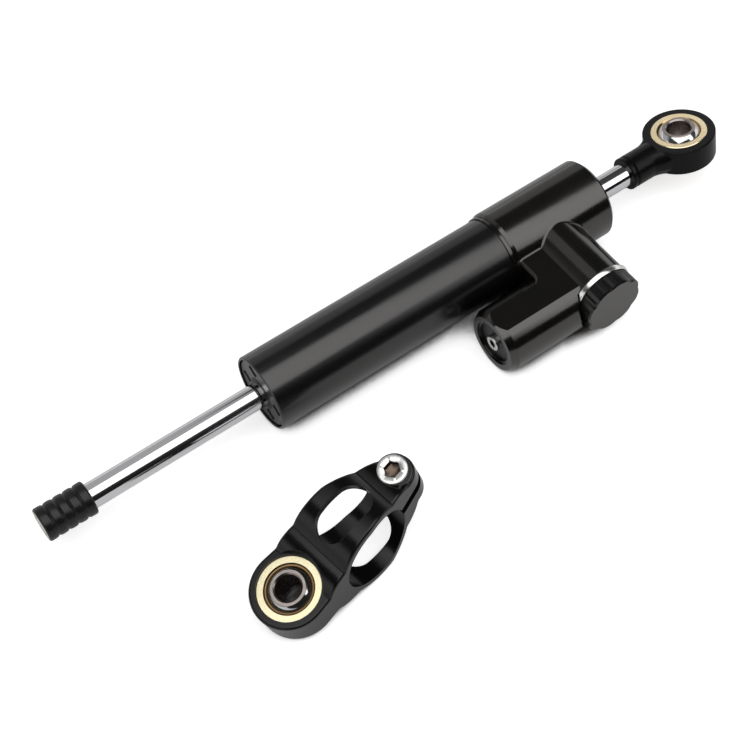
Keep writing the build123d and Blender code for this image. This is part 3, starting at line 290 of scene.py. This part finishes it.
# Bronze pressed from powder: brown and dull, as its pores hold oil
BUSH_BRONZE = Finish("sintered_bronze_bush", "#a9794a", "#8f643a", metallic=1.0, roughness=0.38, spread=0.08,
                     lay=Lay.BLASTED, mark=0.3, depth=0.08, patch=4.0)
# Ground steel: an even, half-bright grey
PISTON_STEEL = Finish("ground_steel_piston", "#b4b5b8", "#9fa0a3", metallic=1.0, roughness=0.25, spread=0.05,
                      lay=Lay.BANDS, mark=0.3, depth=0.04, patch=6.0)
# Slip plastic filled with bronze powder, turned: brown and waxy
BAND_PLASTIC = Finish("filled_slip_band", "#5a4a32", "#6a583d", roughness=0.45, spread=0.06, lay=Lay.BANDS,
                      mark=0.3, depth=0.05, patch=5.0)
# Nitrile rubber from a smooth mould: soft black without a sharp gleam
SEAL_RUBBER = Finish("moulded_nitrile_rubber", "#121212", "#1a1a1a", roughness=0.55, spread=0.08,
                     lay=Lay.MOULDED, mark=0.5, depth=0.08, patch=3.0)


@dataclass(frozen=True)
class Frame:
    """Place of a piece: its own X axis, Y axis and origin, in millimetres of the part's frame."""

    origin: tuple[float, float, float] = (0.0, 0.0, 0.0)
    along: tuple[float, float, float] = (1.0, 0.0, 0.0)
    across: tuple[float, float, float] = (0.0, 1.0, 0.0)

    def matrix(self) -> Matrix:
        """The frame as a matrix from millimetres to metres."""
        x, y = Vector(self.along).normalized(), Vector(self.across).normalized()
        z = x.cross(y)
        turn = Matrix((x, y, z)).transposed().to_4x4()
        return Matrix.Diagonal((MM, MM, MM, 1.0)) @ Matrix.Translation(self.origin) @ turn

    def lay_turn(self) -> tuple[float, float, float]:
        """Turn that a finish's marks take to follow this frame."""
        return tuple((Matrix.Diagonal((1 / MM,) * 3 + (1.0,)) @ self.matrix()).to_euler())

    def lay_place(self) -> tuple[float, float, float]:
        """Centre that a finish's marks take to follow this frame, in metres."""
        return tuple(Vector(self.origin) * MM)


def framed(finish: Finish, place: Frame) -> bpy.types.Material:
    """Builds a finish whose marks follow a piece's own axis.

    Args:
        finish: The finish.
        place: The piece's frame.

    Returns:
        The material.
    """
    return replace(finish, turn=place.lay_turn(), place=place.lay_place()).material()


def dress(material: bpy.types.Material, *names: str) -> None:
    """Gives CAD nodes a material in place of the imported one.

    Args:
        material: The new material.
        names: The nodes.
    """
    for name in names:
        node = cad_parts[name]
        node.data.materials.clear()
        node.data.materials.append(material)
        log.info("%s: %s", name, material.name)


def spun(profile: list[tuple[float, float]], steps: int = 96, closed: bool = True) -> bmesh.types.BMesh:
    """Turns a profile about the X axis.

    Args:
        profile: Corners as (place along X, radius), in millimetres.
        steps: Flats round the piece.
        closed: The last corner joins the first, as on a ring.

    Returns:
        A closed mesh with its faces pointing outwards.
    """
    mesh = bmesh.new()
    corners = [mesh.verts.new((x, r, 0.0)) for x, r in profile]
    for first, second in zip(corners, corners[1:] + (corners[:1] if closed else [])):
        mesh.edges.new((first, second))
    bmesh.ops.spin(mesh, geom=mesh.verts[:] + mesh.edges[:], cent=(0, 0, 0), axis=(1, 0, 0),
                   angle=math.tau, steps=steps, use_merge=True)
    bmesh.ops.remove_doubles(mesh, verts=mesh.verts[:], dist=MERGE)
    bmesh.ops.recalc_face_normals(mesh, faces=mesh.faces[:])
    return mesh


def arc(centre: tuple[float, float], radius: float, start: float, end: float,
        steps: int) -> list[tuple[float, float]]:
    """Round stretch of a profile.

    Args:
        centre: Its centre, as (place along X, radius).
        radius: Its radius.
        start: First angle from the X axis, in radians.
        end: Last angle.
        steps: Straight pieces that it is made of.

    Returns:
        The corners, both ends among them.
    """
    angles = (start + (end - start) * i / steps for i in range(steps + 1))
    return [(centre[0] + radius * math.cos(a), centre[1] + radius * math.sin(a)) for a in angles]


def hexed(mesh: bmesh.types.BMesh, across: float, above: float) -> None:
    """Presses a round socket into a hexagon.

    Args:
        mesh: A turned piece whose socket has half the hexagon's width as its radius.
        across: The hexagon's width across its flats.
        above: The socket's floor: what lies under it stays round.
    """
    side = math.radians(60)
    for vert in mesh.verts:
        radius = math.hypot(vert.co.y, vert.co.z)
        if vert.co.x > above - CLOSE and abs(radius - across / 2) < CLOSE:
            turn = math.atan2(vert.co.z, vert.co.y) % side - side / 2
            vert.co.yz = Vector(vert.co.yz) / math.cos(turn)


def paint_inside(mesh: bmesh.types.BMesh, radius: float, above: float = -1000.0) -> None:
    """Gives the second material to the faces of a bore, a socket or an end's middle.

    Args:
        mesh: A turned piece.
        radius: Faces with every corner this near to the axis get it.
        above: They also lie this far along X, or further.
    """
    for face in mesh.faces:
        if all(math.hypot(v.co.y, v.co.z) < radius + CLOSE and v.co.x > above - CLOSE for v in face.verts):
            face.material_index = 1


def placed(mesh: bmesh.types.BMesh, name: str, place: Frame, materials: list[bpy.types.Material], body: str,
           *nodes: str, slot: str = "") -> bpy.types.Object:
    """Stands a finished mesh in the scene.

    Args:
        mesh: The mesh, in millimetres of its own frame. It is freed.
        name: Name of the piece.
        place: Where it goes.
        materials: What it is made of, by the faces' material numbers.
        body: CAD body that it rides on.
        nodes: CAD nodes that it stands for.
        slot: The record's material slot. Not used.

    Returns:
        The piece.
    """
    mesh.transform(place.matrix())
    data = bpy.data.meshes.new(name)
    mesh.to_mesh(data)
    mesh.free()
    data.shade_smooth()
    data.set_sharp_from_angle(angle=math.radians(30))
    for material in materials:
        data.materials.append(material)
    piece = bpy.data.objects.new(name, data)
    bpy.context.scene.collection.objects.link(piece)
    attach(piece, body)
    if nodes:
        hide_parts(*nodes)
    log.info("%s: %s, %d faces", name, materials[0].name, len(data.polygons))
    return piece


@dataclass(frozen=True)
class Card:
    """Card that only gloss sees, in metres: upright where near and far are the same, and else level."""

    name: str
    level: float
    left: float
    right: float
    near: float
    far: float
    foot: float = 0.0

    def corners(self, top: float) -> list[tuple[float, float, float]]:
        """Its corners in turn, where the cards reach up to this height."""
        low = self.foot if self.near == self.far else top
        return [(self.left, self.near, low), (self.right, self.near, low),
                (self.right, self.far, top), (self.left, self.far, top)]


# A level of 1 is white. The dark ones give the black coats their depth, the pale ones their long gleams
CARDS = (
    Card("ceiling_card", 0.06, left=0.1, right=2.6, near=-1.6, far=1.2),
    Card("ceiling_near_card", 0.03, left=-2.6, right=0.1, near=-1.6, far=-0.3),
    Card("ceiling_far_card", 0.45, left=-0.5, right=0.1, near=-0.3, far=1.2),
    Card("ceiling_side_card", 0.06, left=-2.6, right=-0.5, near=-0.3, far=0.7),
    Card("ceiling_corner_card", 0.3, left=-2.6, right=-0.5, near=0.7, far=1.2),
    Card("far_card", 0.45, left=-2.6, right=0.78, near=1.2, far=1.2, foot=0.15),
    Card("far_side_card", 0.95, left=0.78, right=2.6, near=1.2, far=1.2, foot=0.15),
    Card("near_card", 0.015, left=-2.6, right=2.6, near=-1.6, far=-1.6))
# Outline of the softbox, in metres along X and Y
SOFTBOX = ((-0.9, 0.38), (0.19, 0.175), (0.4, -0.11), (1.2, -1.2), (1.2, -1.56), (0.7, -1.56), (0.36, -0.82),
           (-0.9, -0.76))


@dataclass
class Studio:
    """Camera at the photograph's place, pale floor, one large soft light overhead and plain cards round it.

    eye, lens, sensor and floor_z are in millimetres and the other lengths in metres. A level of 1 is white.
    The floor counts as enclosed where less than closed_at of what is within bore_reach of it is open, and as
    open from open_at on. Where it is enclosed it gets painted shade: a dark brown colour and no glow.
    """

    eye: tuple[float, float, float] = (-276.32, -239.88, 392.26)
    right: tuple[float, float, float] = (0.813494, -0.580213, -0.039746)
    up: tuple[float, float, float] = (0.499496, 0.662046, 0.558746)
    lens: float = 75.16
    sensor: float = 36.0
    floor_z: float = -13.5
    soft_strength: float = 2.0
    around: float = 0.4
    glow: float = 0.6
    bore_reach: float = 0.011
    closed_at: float = 0.3
    open_at: float = 0.45
    floor_white: str = "#dcdcdc"
    floor_painted_shade: str = "#3a3432"
    floor_rough: float = 0.9
    floor_half: float = 6.0
    soft_height: float = 0.9
    card_top: float = 1.0

    def build(self) -> None:
        """Makes the camera, the world, the floor, the light and the cards."""
        self.camera()
        self.world()
        self.floor()
        self.light()
        bpy.context.scene.view_settings.view_transform = "Standard"
        log.info("studio: camera, floor, light and cards")

    def camera(self) -> None:
        """Stands the camera where the photograph was taken from."""
        data = bpy.data.cameras.new("camera")
        data.lens, data.sensor_width = self.lens, self.sensor
        data.clip_start, data.clip_end = 0.01, 50.0
        camera = bpy.data.objects.new("camera", data)
        right, up = Vector(self.right), Vector(self.up)
        turn = Matrix((right, up, right.cross(up))).transposed().to_4x4()
        camera.matrix_world = Matrix.Translation(Vector(self.eye) * MM) @ turn
        bpy.context.scene.collection.objects.link(camera)
        bpy.context.scene.camera = camera

    def world(self) -> None:
        """White background to camera, gloss and glass, and an even low light to the rest."""
        world = bpy.data.worlds.new("studio")
        world.use_nodes = True
        tree = world.node_tree
        tree.nodes.clear()
        path = add_node(tree, "ShaderNodeLightPath")
        seen = add_node(tree, "ShaderNodeMath", {
            0: path.outputs["Is Camera Ray"], 1: path.outputs["Is Glossy Ray"]}, operation="MAXIMUM")
        clear = add_node(tree, "ShaderNodeMath", {
            0: seen.outputs[0], 1: path.outputs["Is Transmission Ray"]}, operation="MAXIMUM")
        strength = add_node(tree, "ShaderNodeMapRange", {
            "Value": clear.outputs[0], "To Min": self.around, "To Max": 1.0})
        sky = add_node(tree, "ShaderNodeBackground", {"Color": (1, 1, 1, 1), "Strength": strength.outputs[0]})
        add_node(tree, "ShaderNodeOutputWorld", {"Surface": sky.outputs[0]})
        bpy.context.scene.world = world

    def sheet(self, name: str, corners: list[tuple[float, float, float]],
              material: bpy.types.Material) -> bpy.types.Object:
        """Flat four-cornered sheet of the studio, in metres.

        Args:
            name: Its name.
            corners: Its corners in turn.
            material: Its material.

        Returns:
            The sheet.
        """
        mesh = bmesh.new()
        mesh.faces.new([mesh.verts.new(c) for c in corners])
        data = bpy.data.meshes.new(name)
        mesh.to_mesh(data)
        mesh.free()
        data.materials.append(material)
        sheet = bpy.data.objects.new(name, data)
        bpy.context.scene.collection.objects.link(sheet)
        return sheet

    def floor(self) -> None:
        """White laminate floor that glows to the camera where it is open and has painted shade where
        enclosed.

        So it stays white, keeps the shadow, and has painted shade down in the bearings' bores.
        """
        made = bpy.data.materials.new("white_floor")
        made.use_nodes = True
        tree = made.node_tree
        tree.nodes.clear()
        path = add_node(tree, "ShaderNodeLightPath")
        open_floor = add_node(tree, "ShaderNodeAmbientOcclusion", {"Distance": self.bore_reach}, samples=16)
        clear = add_node(tree, "ShaderNodeMapRange", {
            "Value": open_floor.outputs["AO"], "From Min": self.closed_at, "From Max": self.open_at})
        # Painted shade: the floor turns dark brown where it is enclosed, and its glow fades there
        tint = add_node(tree, "ShaderNodeMix", {
            0: clear.outputs[0], 6: linear(self.floor_painted_shade), 7: linear(self.floor_white)}, data_type="RGBA")
        level = add_node(tree, "ShaderNodeMath", {0: clear.outputs[0], 1: self.glow}, operation="MULTIPLY")
        glow = add_node(tree, "ShaderNodeMath", {
            0: path.outputs["Is Camera Ray"], 1: level.outputs[0]}, operation="MULTIPLY")
        shader = add_node(tree, "ShaderNodeBsdfPrincipled", {
            "Base Color": tint.outputs[2], "Roughness": self.floor_rough, "Specular IOR Level": 0.0,
            "Emission Color": (1, 1, 1, 1), "Emission Strength": glow.outputs[0]})
        add_node(tree, "ShaderNodeOutputMaterial", {"Surface": shader.outputs[0]})
        z, half = self.floor_z * MM, self.floor_half
        self.sheet("floor", [(-half, -half, z), (half, -half, z), (half, half, z), (-half, half, z)], made)

    def glowing(self, name: str, level: float) -> bpy.types.Material:
        """Plain material that gives off one level of white.

        Args:
            name: Its name.
            level: 1 is white.

        Returns:
            The material.
        """
        made = bpy.data.materials.new(name)
        made.use_nodes = True
        tree = made.node_tree
        tree.nodes.clear()
        light = add_node(tree, "ShaderNodeEmission", {"Color": (1, 1, 1, 1), "Strength": level})
        add_node(tree, "ShaderNodeOutputMaterial", {"Surface": light.outputs[0]})
        return made

    def light(self) -> None:
        """Large softbox overhead, with dark and grey cards that shape what gloss reflects."""
        outline = [(x, y, self.soft_height) for x, y in SOFTBOX]
        soft = self.sheet("softbox", outline, self.glowing("softbox", self.soft_strength))
        soft.visible_camera = soft.visible_shadow = False
        for card in CARDS:
            sheet = self.sheet(card.name, card.corners(self.card_top), self.glowing(card.name, card.level))
            sheet.visible_camera = sheet.visible_diffuse = False
            sheet.visible_shadow = sheet.visible_transmission = False


def extent(node: str) -> tuple[Vector, Vector]:
    """Lowest and highest corner of a CAD node, in millimetres."""
    low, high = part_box(node)
    return Vector(low) / MM, Vector(high) / MM


def middle(node: str) -> Vector:
    """Middle of a CAD node's box, in millimetres."""
    low, high = extent(node)
    return (low + high) / 2


# How the pieces lie: the rod eye is turned about the rod, the bracket is turned about Z and tilted
EYE_LEAN = math.radians(12.5)
CLAMP_HEADING = math.radians(8.4)
CLAMP_TILT = math.radians(15.224)
BARREL_AXIS = middle("reservoir_plug")
NECK = Frame((middle("knob_collar").x, 0.0, 0.0), (0.0, -1.0, 0.0), (1.0, 0.0, 0.0))
BARREL = Frame((0.0, BARREL_AXIS.y, BARREL_AXIS.z))
# Each eye's own X axis is its bore's axis
ROD_EYE = Frame((0.0, 0.0, 0.0), (0.0, math.sin(EYE_LEAN), math.cos(EYE_LEAN)), (1.0, 0.0, 0.0))
CLAMP_UP = Vector((-math.sin(CLAMP_TILT) * math.cos(CLAMP_HEADING),
                   -math.sin(CLAMP_TILT) * math.sin(CLAMP_HEADING), math.cos(CLAMP_TILT)))
CLAMP_ALONG = Vector((math.cos(CLAMP_TILT) * math.cos(CLAMP_HEADING),
                      math.cos(CLAMP_TILT) * math.sin(CLAMP_HEADING), math.sin(CLAMP_TILT)))
CLAMP_EYE = Frame(tuple(middle("clamp_ball")), tuple(CLAMP_UP), tuple(CLAMP_ALONG))


@dataclass
class Bearing:
    """Chromed ball that swivels in a turned brass race, in millimetres. Its own X axis is the bore's.

    A race with a ring has a narrow groove in each face, and inside it a ring that is set back by ring_drop.
    """

    place: Frame
    ball_node: str
    race_node: str
    ball_body: str
    race_body: str
    brass: Finish
    race_dia: float
    race_half: float
    mouth_dia: float
    ring_width: float = 0.0
    ring_drop: float = 0.25
    groove_width: float = 0.45
    ball_dia: float = 15.88
    ball_width: float = 12.0
    bore_dia: float = 8.0
    edge: float = 0.4
    seat_gap: float = 0.05
    lip: float = 0.15

    def build(self) -> None:
        """Makes the ball and the race."""
        self.ball()
        self.race()

    def ball(self) -> None:
        """Ball with flat ends and an unplated bore, dark with painted shade."""
        half, bore, radius = self.ball_width / 2, self.bore_dia / 2, self.ball_dia / 2
        sweep = math.acos(half / radius)
        round_part = arc((0, 0), radius, math.pi - sweep, sweep, steps=40)
        mesh = spun([(-half, bore + self.edge), *round_part, (half, bore + self.edge),
                     (half - self.edge, bore), (self.edge - half, bore)])
        # The bore's faces take the bare steel darkened with painted shade
        paint_inside(mesh, bore)
        for end in mesh.faces:
            if all(half - abs(v.co.x) < self.edge + CLOSE for v in end.verts):
                end.material_index = 2
        materials = [framed(BALL_CHROME, self.place), BORE_SHADE_STEEL.material(), framed(BALL_END, self.place)]
        placed(mesh, self.ball_node + "_turned", self.place, materials, self.ball_body, self.ball_node,
               slot="ball_chrome")

    def race(self) -> None:
        """Race with a flat face, a fine groove inside it where it has one, and the ball's seat."""
        outer, half, mouth = self.race_dia / 2, self.race_half, self.mouth_dia / 2
        seat = self.ball_dia / 2 + self.seat_gap
        lip_place = math.sqrt(seat ** 2 - (mouth - self.lip) ** 2)
        face = [(half - self.lip, outer), (half, outer - self.lip)]
        inner, groove = half, outer
        if self.ring_width:
            rim, inner = mouth + self.ring_width, half - self.ring_drop
            groove = rim + self.groove_width
            floor = inner - self.groove_width
            face += [(half, groove), (floor, groove), (floor, rim), (inner, rim)]
        face += [(inner, mouth), (lip_place, mouth - self.lip)]
        swing = math.acos(lip_place / seat)
        seat_line = arc((0, 0), seat, swing, math.pi - swing, steps=24)[1:-1]
        other = [(-x, r) for x, r in reversed(face)]
        mesh = spun(face + seat_line + other)
        materials = [framed(self.brass, self.place)]
        if self.ring_width:
            # The groove's oil with painted shade, and the ring's brass darkened with painted shade
            materials += [GROOVE_OIL_AND_SHADE.material(), framed(RING_SHADED_BRASS, self.place)]
            self.paint_ring(mesh, groove, inner)
        placed(mesh, self.race_node + "_turned", self.place, materials, self.race_body, self.race_node,
               slot="race_brass")

    def paint_ring(self, mesh: bmesh.types.BMesh, groove: float, ring_place: float) -> None:
        """Gives the groove and the wall under the ring their oil and painted shade, and the ring its brass
        darkened with painted shade.

        Args:
            mesh: The race.
            groove: The groove's outer radius.
            ring_place: Where the ring's face lies, from the race's middle.
        """
        for part in mesh.faces:
            places = [abs(v.co.x) for v in part.verts]
            widest = max(math.hypot(v.co.y, v.co.z) for v in part.verts)
            if widest < groove + CLOSE and min(places) < self.race_half - CLOSE:
                on_ring = min(places) > ring_place - CLOSE and max(places) < ring_place + CLOSE
                part.material_index = 2 if on_ring else 1


@dataclass
class SocketScrew:
    """Screw with a round head and a hexagon socket, in millimetres. Its own X axis points out of its head."""

    name: str
    place: Frame
    node: str
    body: str
    top: float
    head_dia: float
    head_height: float
    shank_dia: float
    length: float
    socket: float
    socket_depth: float
    edge: float = 0.4

    def build(self) -> None:
        """Turns the screw and presses its socket."""
        top, head, shank, socket = self.top, self.head_dia / 2, self.shank_dia / 2, self.socket / 2
        floor, under, end = top - self.socket_depth, top - self.head_height, top - self.length
        edge, reach = self.edge, socket * HEX_CORNER
        corner = arc((top - edge, head - edge), edge, math.pi / 2, 0, steps=4)
        mesh = spun([(end, 0), (end, shank - edge), (end + edge, shank), (under, shank), (under, head),
                     *corner, (top, reach + edge / 2), (top - edge / 2, socket), (floor, socket),
                     (floor - socket / 2, 0)], closed=False)
        hexed(mesh, self.socket, floor)
        # The socket's faces take the greased steel darkened with painted shade
        paint_inside(mesh, reach, floor - socket / 2)
        materials = [framed(SCREW_STEEL, self.place), SOCKET_GREASE_AND_SHADE_STEEL.material()]
        placed(mesh, self.name, self.place, materials, self.body, self.node, slot="screw_steel")


@dataclass
class Tube:
    """Damper tube with its front guide and what is inside."""

    def build(self) -> None:
        """Dresses the tube, guides, seals and piston."""
        dress(TUBE_BLACK.material(), "cylinder_tube")
        dress(GUIDE_DARK.material(), "front_guide", "rear_guide")
        rubber = SEAL_RUBBER.material()
        dress(rubber, "tube_oring", "front_guide_oring", "rear_guide_oring", "front_rod_wiper",
              "rear_rod_wiper", "front_rod_seal", "rear_rod_seal")
        dress(BUSH_BRONZE.material(), "front_rod_bush", "rear_rod_bush")
        dress(PISTON_STEEL.material(), "piston", "piston_clips")
        dress(BAND_PLASTIC.material(), "piston_ring")


@dataclass
class Head:
    """Machined head with neck and fluid barrel."""

    def build(self) -> None:
        """Dresses the head and the parts in its barrel."""
        dress(HEAD_BLACK.material(), "head_housing")
        dress(framed(PLUG_GREY, BARREL), "reservoir_plug")
        dress(framed(CLIP_BLACK, BARREL), "reservoir_circlip")
        dress(framed(SCREW_STEEL, BARREL), "fill_screw_washer")
        dress(framed(PISTON_STEEL, BARREL), "floating_piston")
        dress(SEAL_RUBBER.material(), "reservoir_plug_oring", "floating_piston_oring")
        out = Frame((0.0, BARREL_AXIS.y, BARREL_AXIS.z), (-1.0, 0.0, 0.0), (0.0, 1.0, 0.0))
        SocketScrew("fill_screw_zinc", out, "fill_screw", "damper_body", top=-extent("fill_screw")[0].x,
                    head_dia=5.2, head_height=2.0, shank_dia=3.0, length=5.0, socket=2.5, socket_depth=1.2,
                    edge=0.3).build()


@dataclass
class Adjuster:
    """Knob, collar, spindle and valve on the neck. The collar's sizes are in millimetres."""

    collar_bore: float = 6.1
    collar_crown: float = 2.6
    collar_edge: float = 0.12
    track_place: float = 7.6
    track_width: float = 2.0
    track_depth: float = 0.5

    def build(self) -> None:
        """Dresses the adjuster's pieces."""
        dress(framed(KNOB_GREY, NECK), "adjuster_knob")
        self.collar()
        dress(framed(SCREW_STEEL, NECK), "adjuster_spindle", "knob_grub_screw", "click_ball", "click_spring",
              "needle_valve")
        dress(framed(VALVE_BRASS, NECK), "valve_seat", "valve_cartridge")
        dress(SEAL_RUBBER.material(), "valve_cartridge_oring", "spindle_oring")

    def collar(self) -> None:
        """Collar with a rim crowned towards the knob, and the track that the click ball runs in."""
        low, high = extent("knob_collar")
        inner, outer, radius = -high.y, -low.y, (high.x - low.x) / 2
        crown, edge = self.collar_crown, self.collar_edge
        lean = math.asin((outer - inner - edge) / crown)
        rim = arc((inner + edge, radius - crown), crown, math.pi / 2, math.pi / 2 - lean, steps=12)
        bore = self.collar_bore / 2
        near, far = self.track_place - self.track_width / 2, self.track_place + self.track_width / 2
        floor = outer - self.track_depth
        mesh = spun([(inner, bore), (inner, radius - edge), *rim, (outer, far), (floor, far), (floor, near),
                     (outer, near), (outer, bore)], steps=128)
        placed(mesh, "knob_collar_turned", NECK, [framed(COLLAR_SILVER, NECK)], "damper_body",
               "knob_collar", slot="collar_silver")


@dataclass
class EndStop:
    """Sleeve on the rod's free end, with soft ribs between its grooves, in millimetres."""

    grooves: int = 4
    groove_depth: float = 0.42
    rib_crown: float = 0.12
    edge: float = 0.7
    bore_dia: float = 6.04
    socket_dia: float = 8.04
    socket_depth: float = 2.0
    step: float = 0.2

    def build(self) -> None:
        """Turns the stop, with a bare end."""
        low, high = extent("end_stop")
        radius, bore = (high.z - low.z) / 2, self.bore_dia / 2
        pitch = (high.x - low.x) / (self.grooves + 1)
        count = round((high.x - low.x - 2 * self.edge) / self.step)
        places = [low.x + self.edge + (high.x - low.x - 2 * self.edge) * i / count for i in range(1, count)]
        ribs = [(x, radius - self.drop((x - low.x) / pitch)) for x in places]
        first = arc((low.x + self.edge, radius - self.edge), self.edge, math.pi, math.pi / 2, steps=5)
        last = arc((high.x - self.edge, radius - self.edge), self.edge, math.pi / 2, 0, steps=5)
        socket = self.socket_dia / 2
        shoulder = high.x - self.socket_depth
        mesh = spun([(low.x, bore), *first, *ribs, *last, (high.x, socket), (shoulder, socket),
                     (shoulder, bore)])
        for face in mesh.faces:
            if all(v.co.x < low.x + CLOSE for v in face.verts):
                face.material_index = 1
        placed(mesh, "end_stop_turned", Frame(), [STOP_BLACK.material(), STOP_BARE.material()], "rod",
               "end_stop", slot="stop_black")

    def drop(self, ribs: float) -> float:
        """How far the surface lies under the full radius.

        Args:
            ribs: How many ribs lie between the front end and this place.

        Returns:
            The drop: sharp in the grooves, and a low crown on the ribs between them.
        """
        if not 0.5 < ribs < self.grooves + 0.5:
            return 0.0
        swell = math.cos(math.pi * ribs)
        return max(self.groove_depth * swell ** 12, self.rib_crown * swell ** 2)


@dataclass
class Rod:
    """Chromed rod with its end stop and rod eye."""

    def build(self) -> None:
        """Dresses the rod and its eye, and makes the stop and the eye's bearing."""
        dress(ROD_CHROME.material(), "piston_rod")
        dress(framed(EYE_BLACK, ROD_EYE), "rod_eye")
        EndStop().build()
        Bearing(ROD_EYE, "rod_eye_ball", "rod_eye_race", "rod_ball", "rod", EYE_BRASS, race_dia=18.4,
                race_half=4.65, mouth_dia=14.6).build()


@dataclass
class Bracket:
    """Loose clamp bracket with its race, ball and bolt. Its bolt's place is in millimetres from the ball."""

    eye_to_bolt: float = 43.6
    bolt_top: float = 10.0

    def build(self) -> None:
        """Dresses the bracket, and makes its bearing and its bolt."""
        dress(framed(BRACKET_BLACK, CLAMP_EYE), "clamp_bracket")
        Bearing(CLAMP_EYE, "clamp_ball", "clamp_race", "bracket_ball", "bracket", RACE_BRASS, race_dia=19.2,
                race_half=4.7, mouth_dia=13.6, ring_width=0.35).build()
        bolt = Frame(tuple(Vector(CLAMP_EYE.origin) + self.eye_to_bolt * CLAMP_ALONG), CLAMP_EYE.along,
                     CLAMP_EYE.across)
        SocketScrew("clamp_bolt_zinc", bolt, "clamp_bolt", "bracket", top=self.bolt_top, head_dia=9.0,
                    head_height=5.0, shank_dia=5.0, length=16.8, socket=4.5, socket_depth=2.5).build()


def main() -> None:
    """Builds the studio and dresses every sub-assembly."""
    for part in (Studio(), Tube(), Head(), Adjuster(), Rod(), Bracket()):
        part.build()


if __name__ == "__main__":
    main()
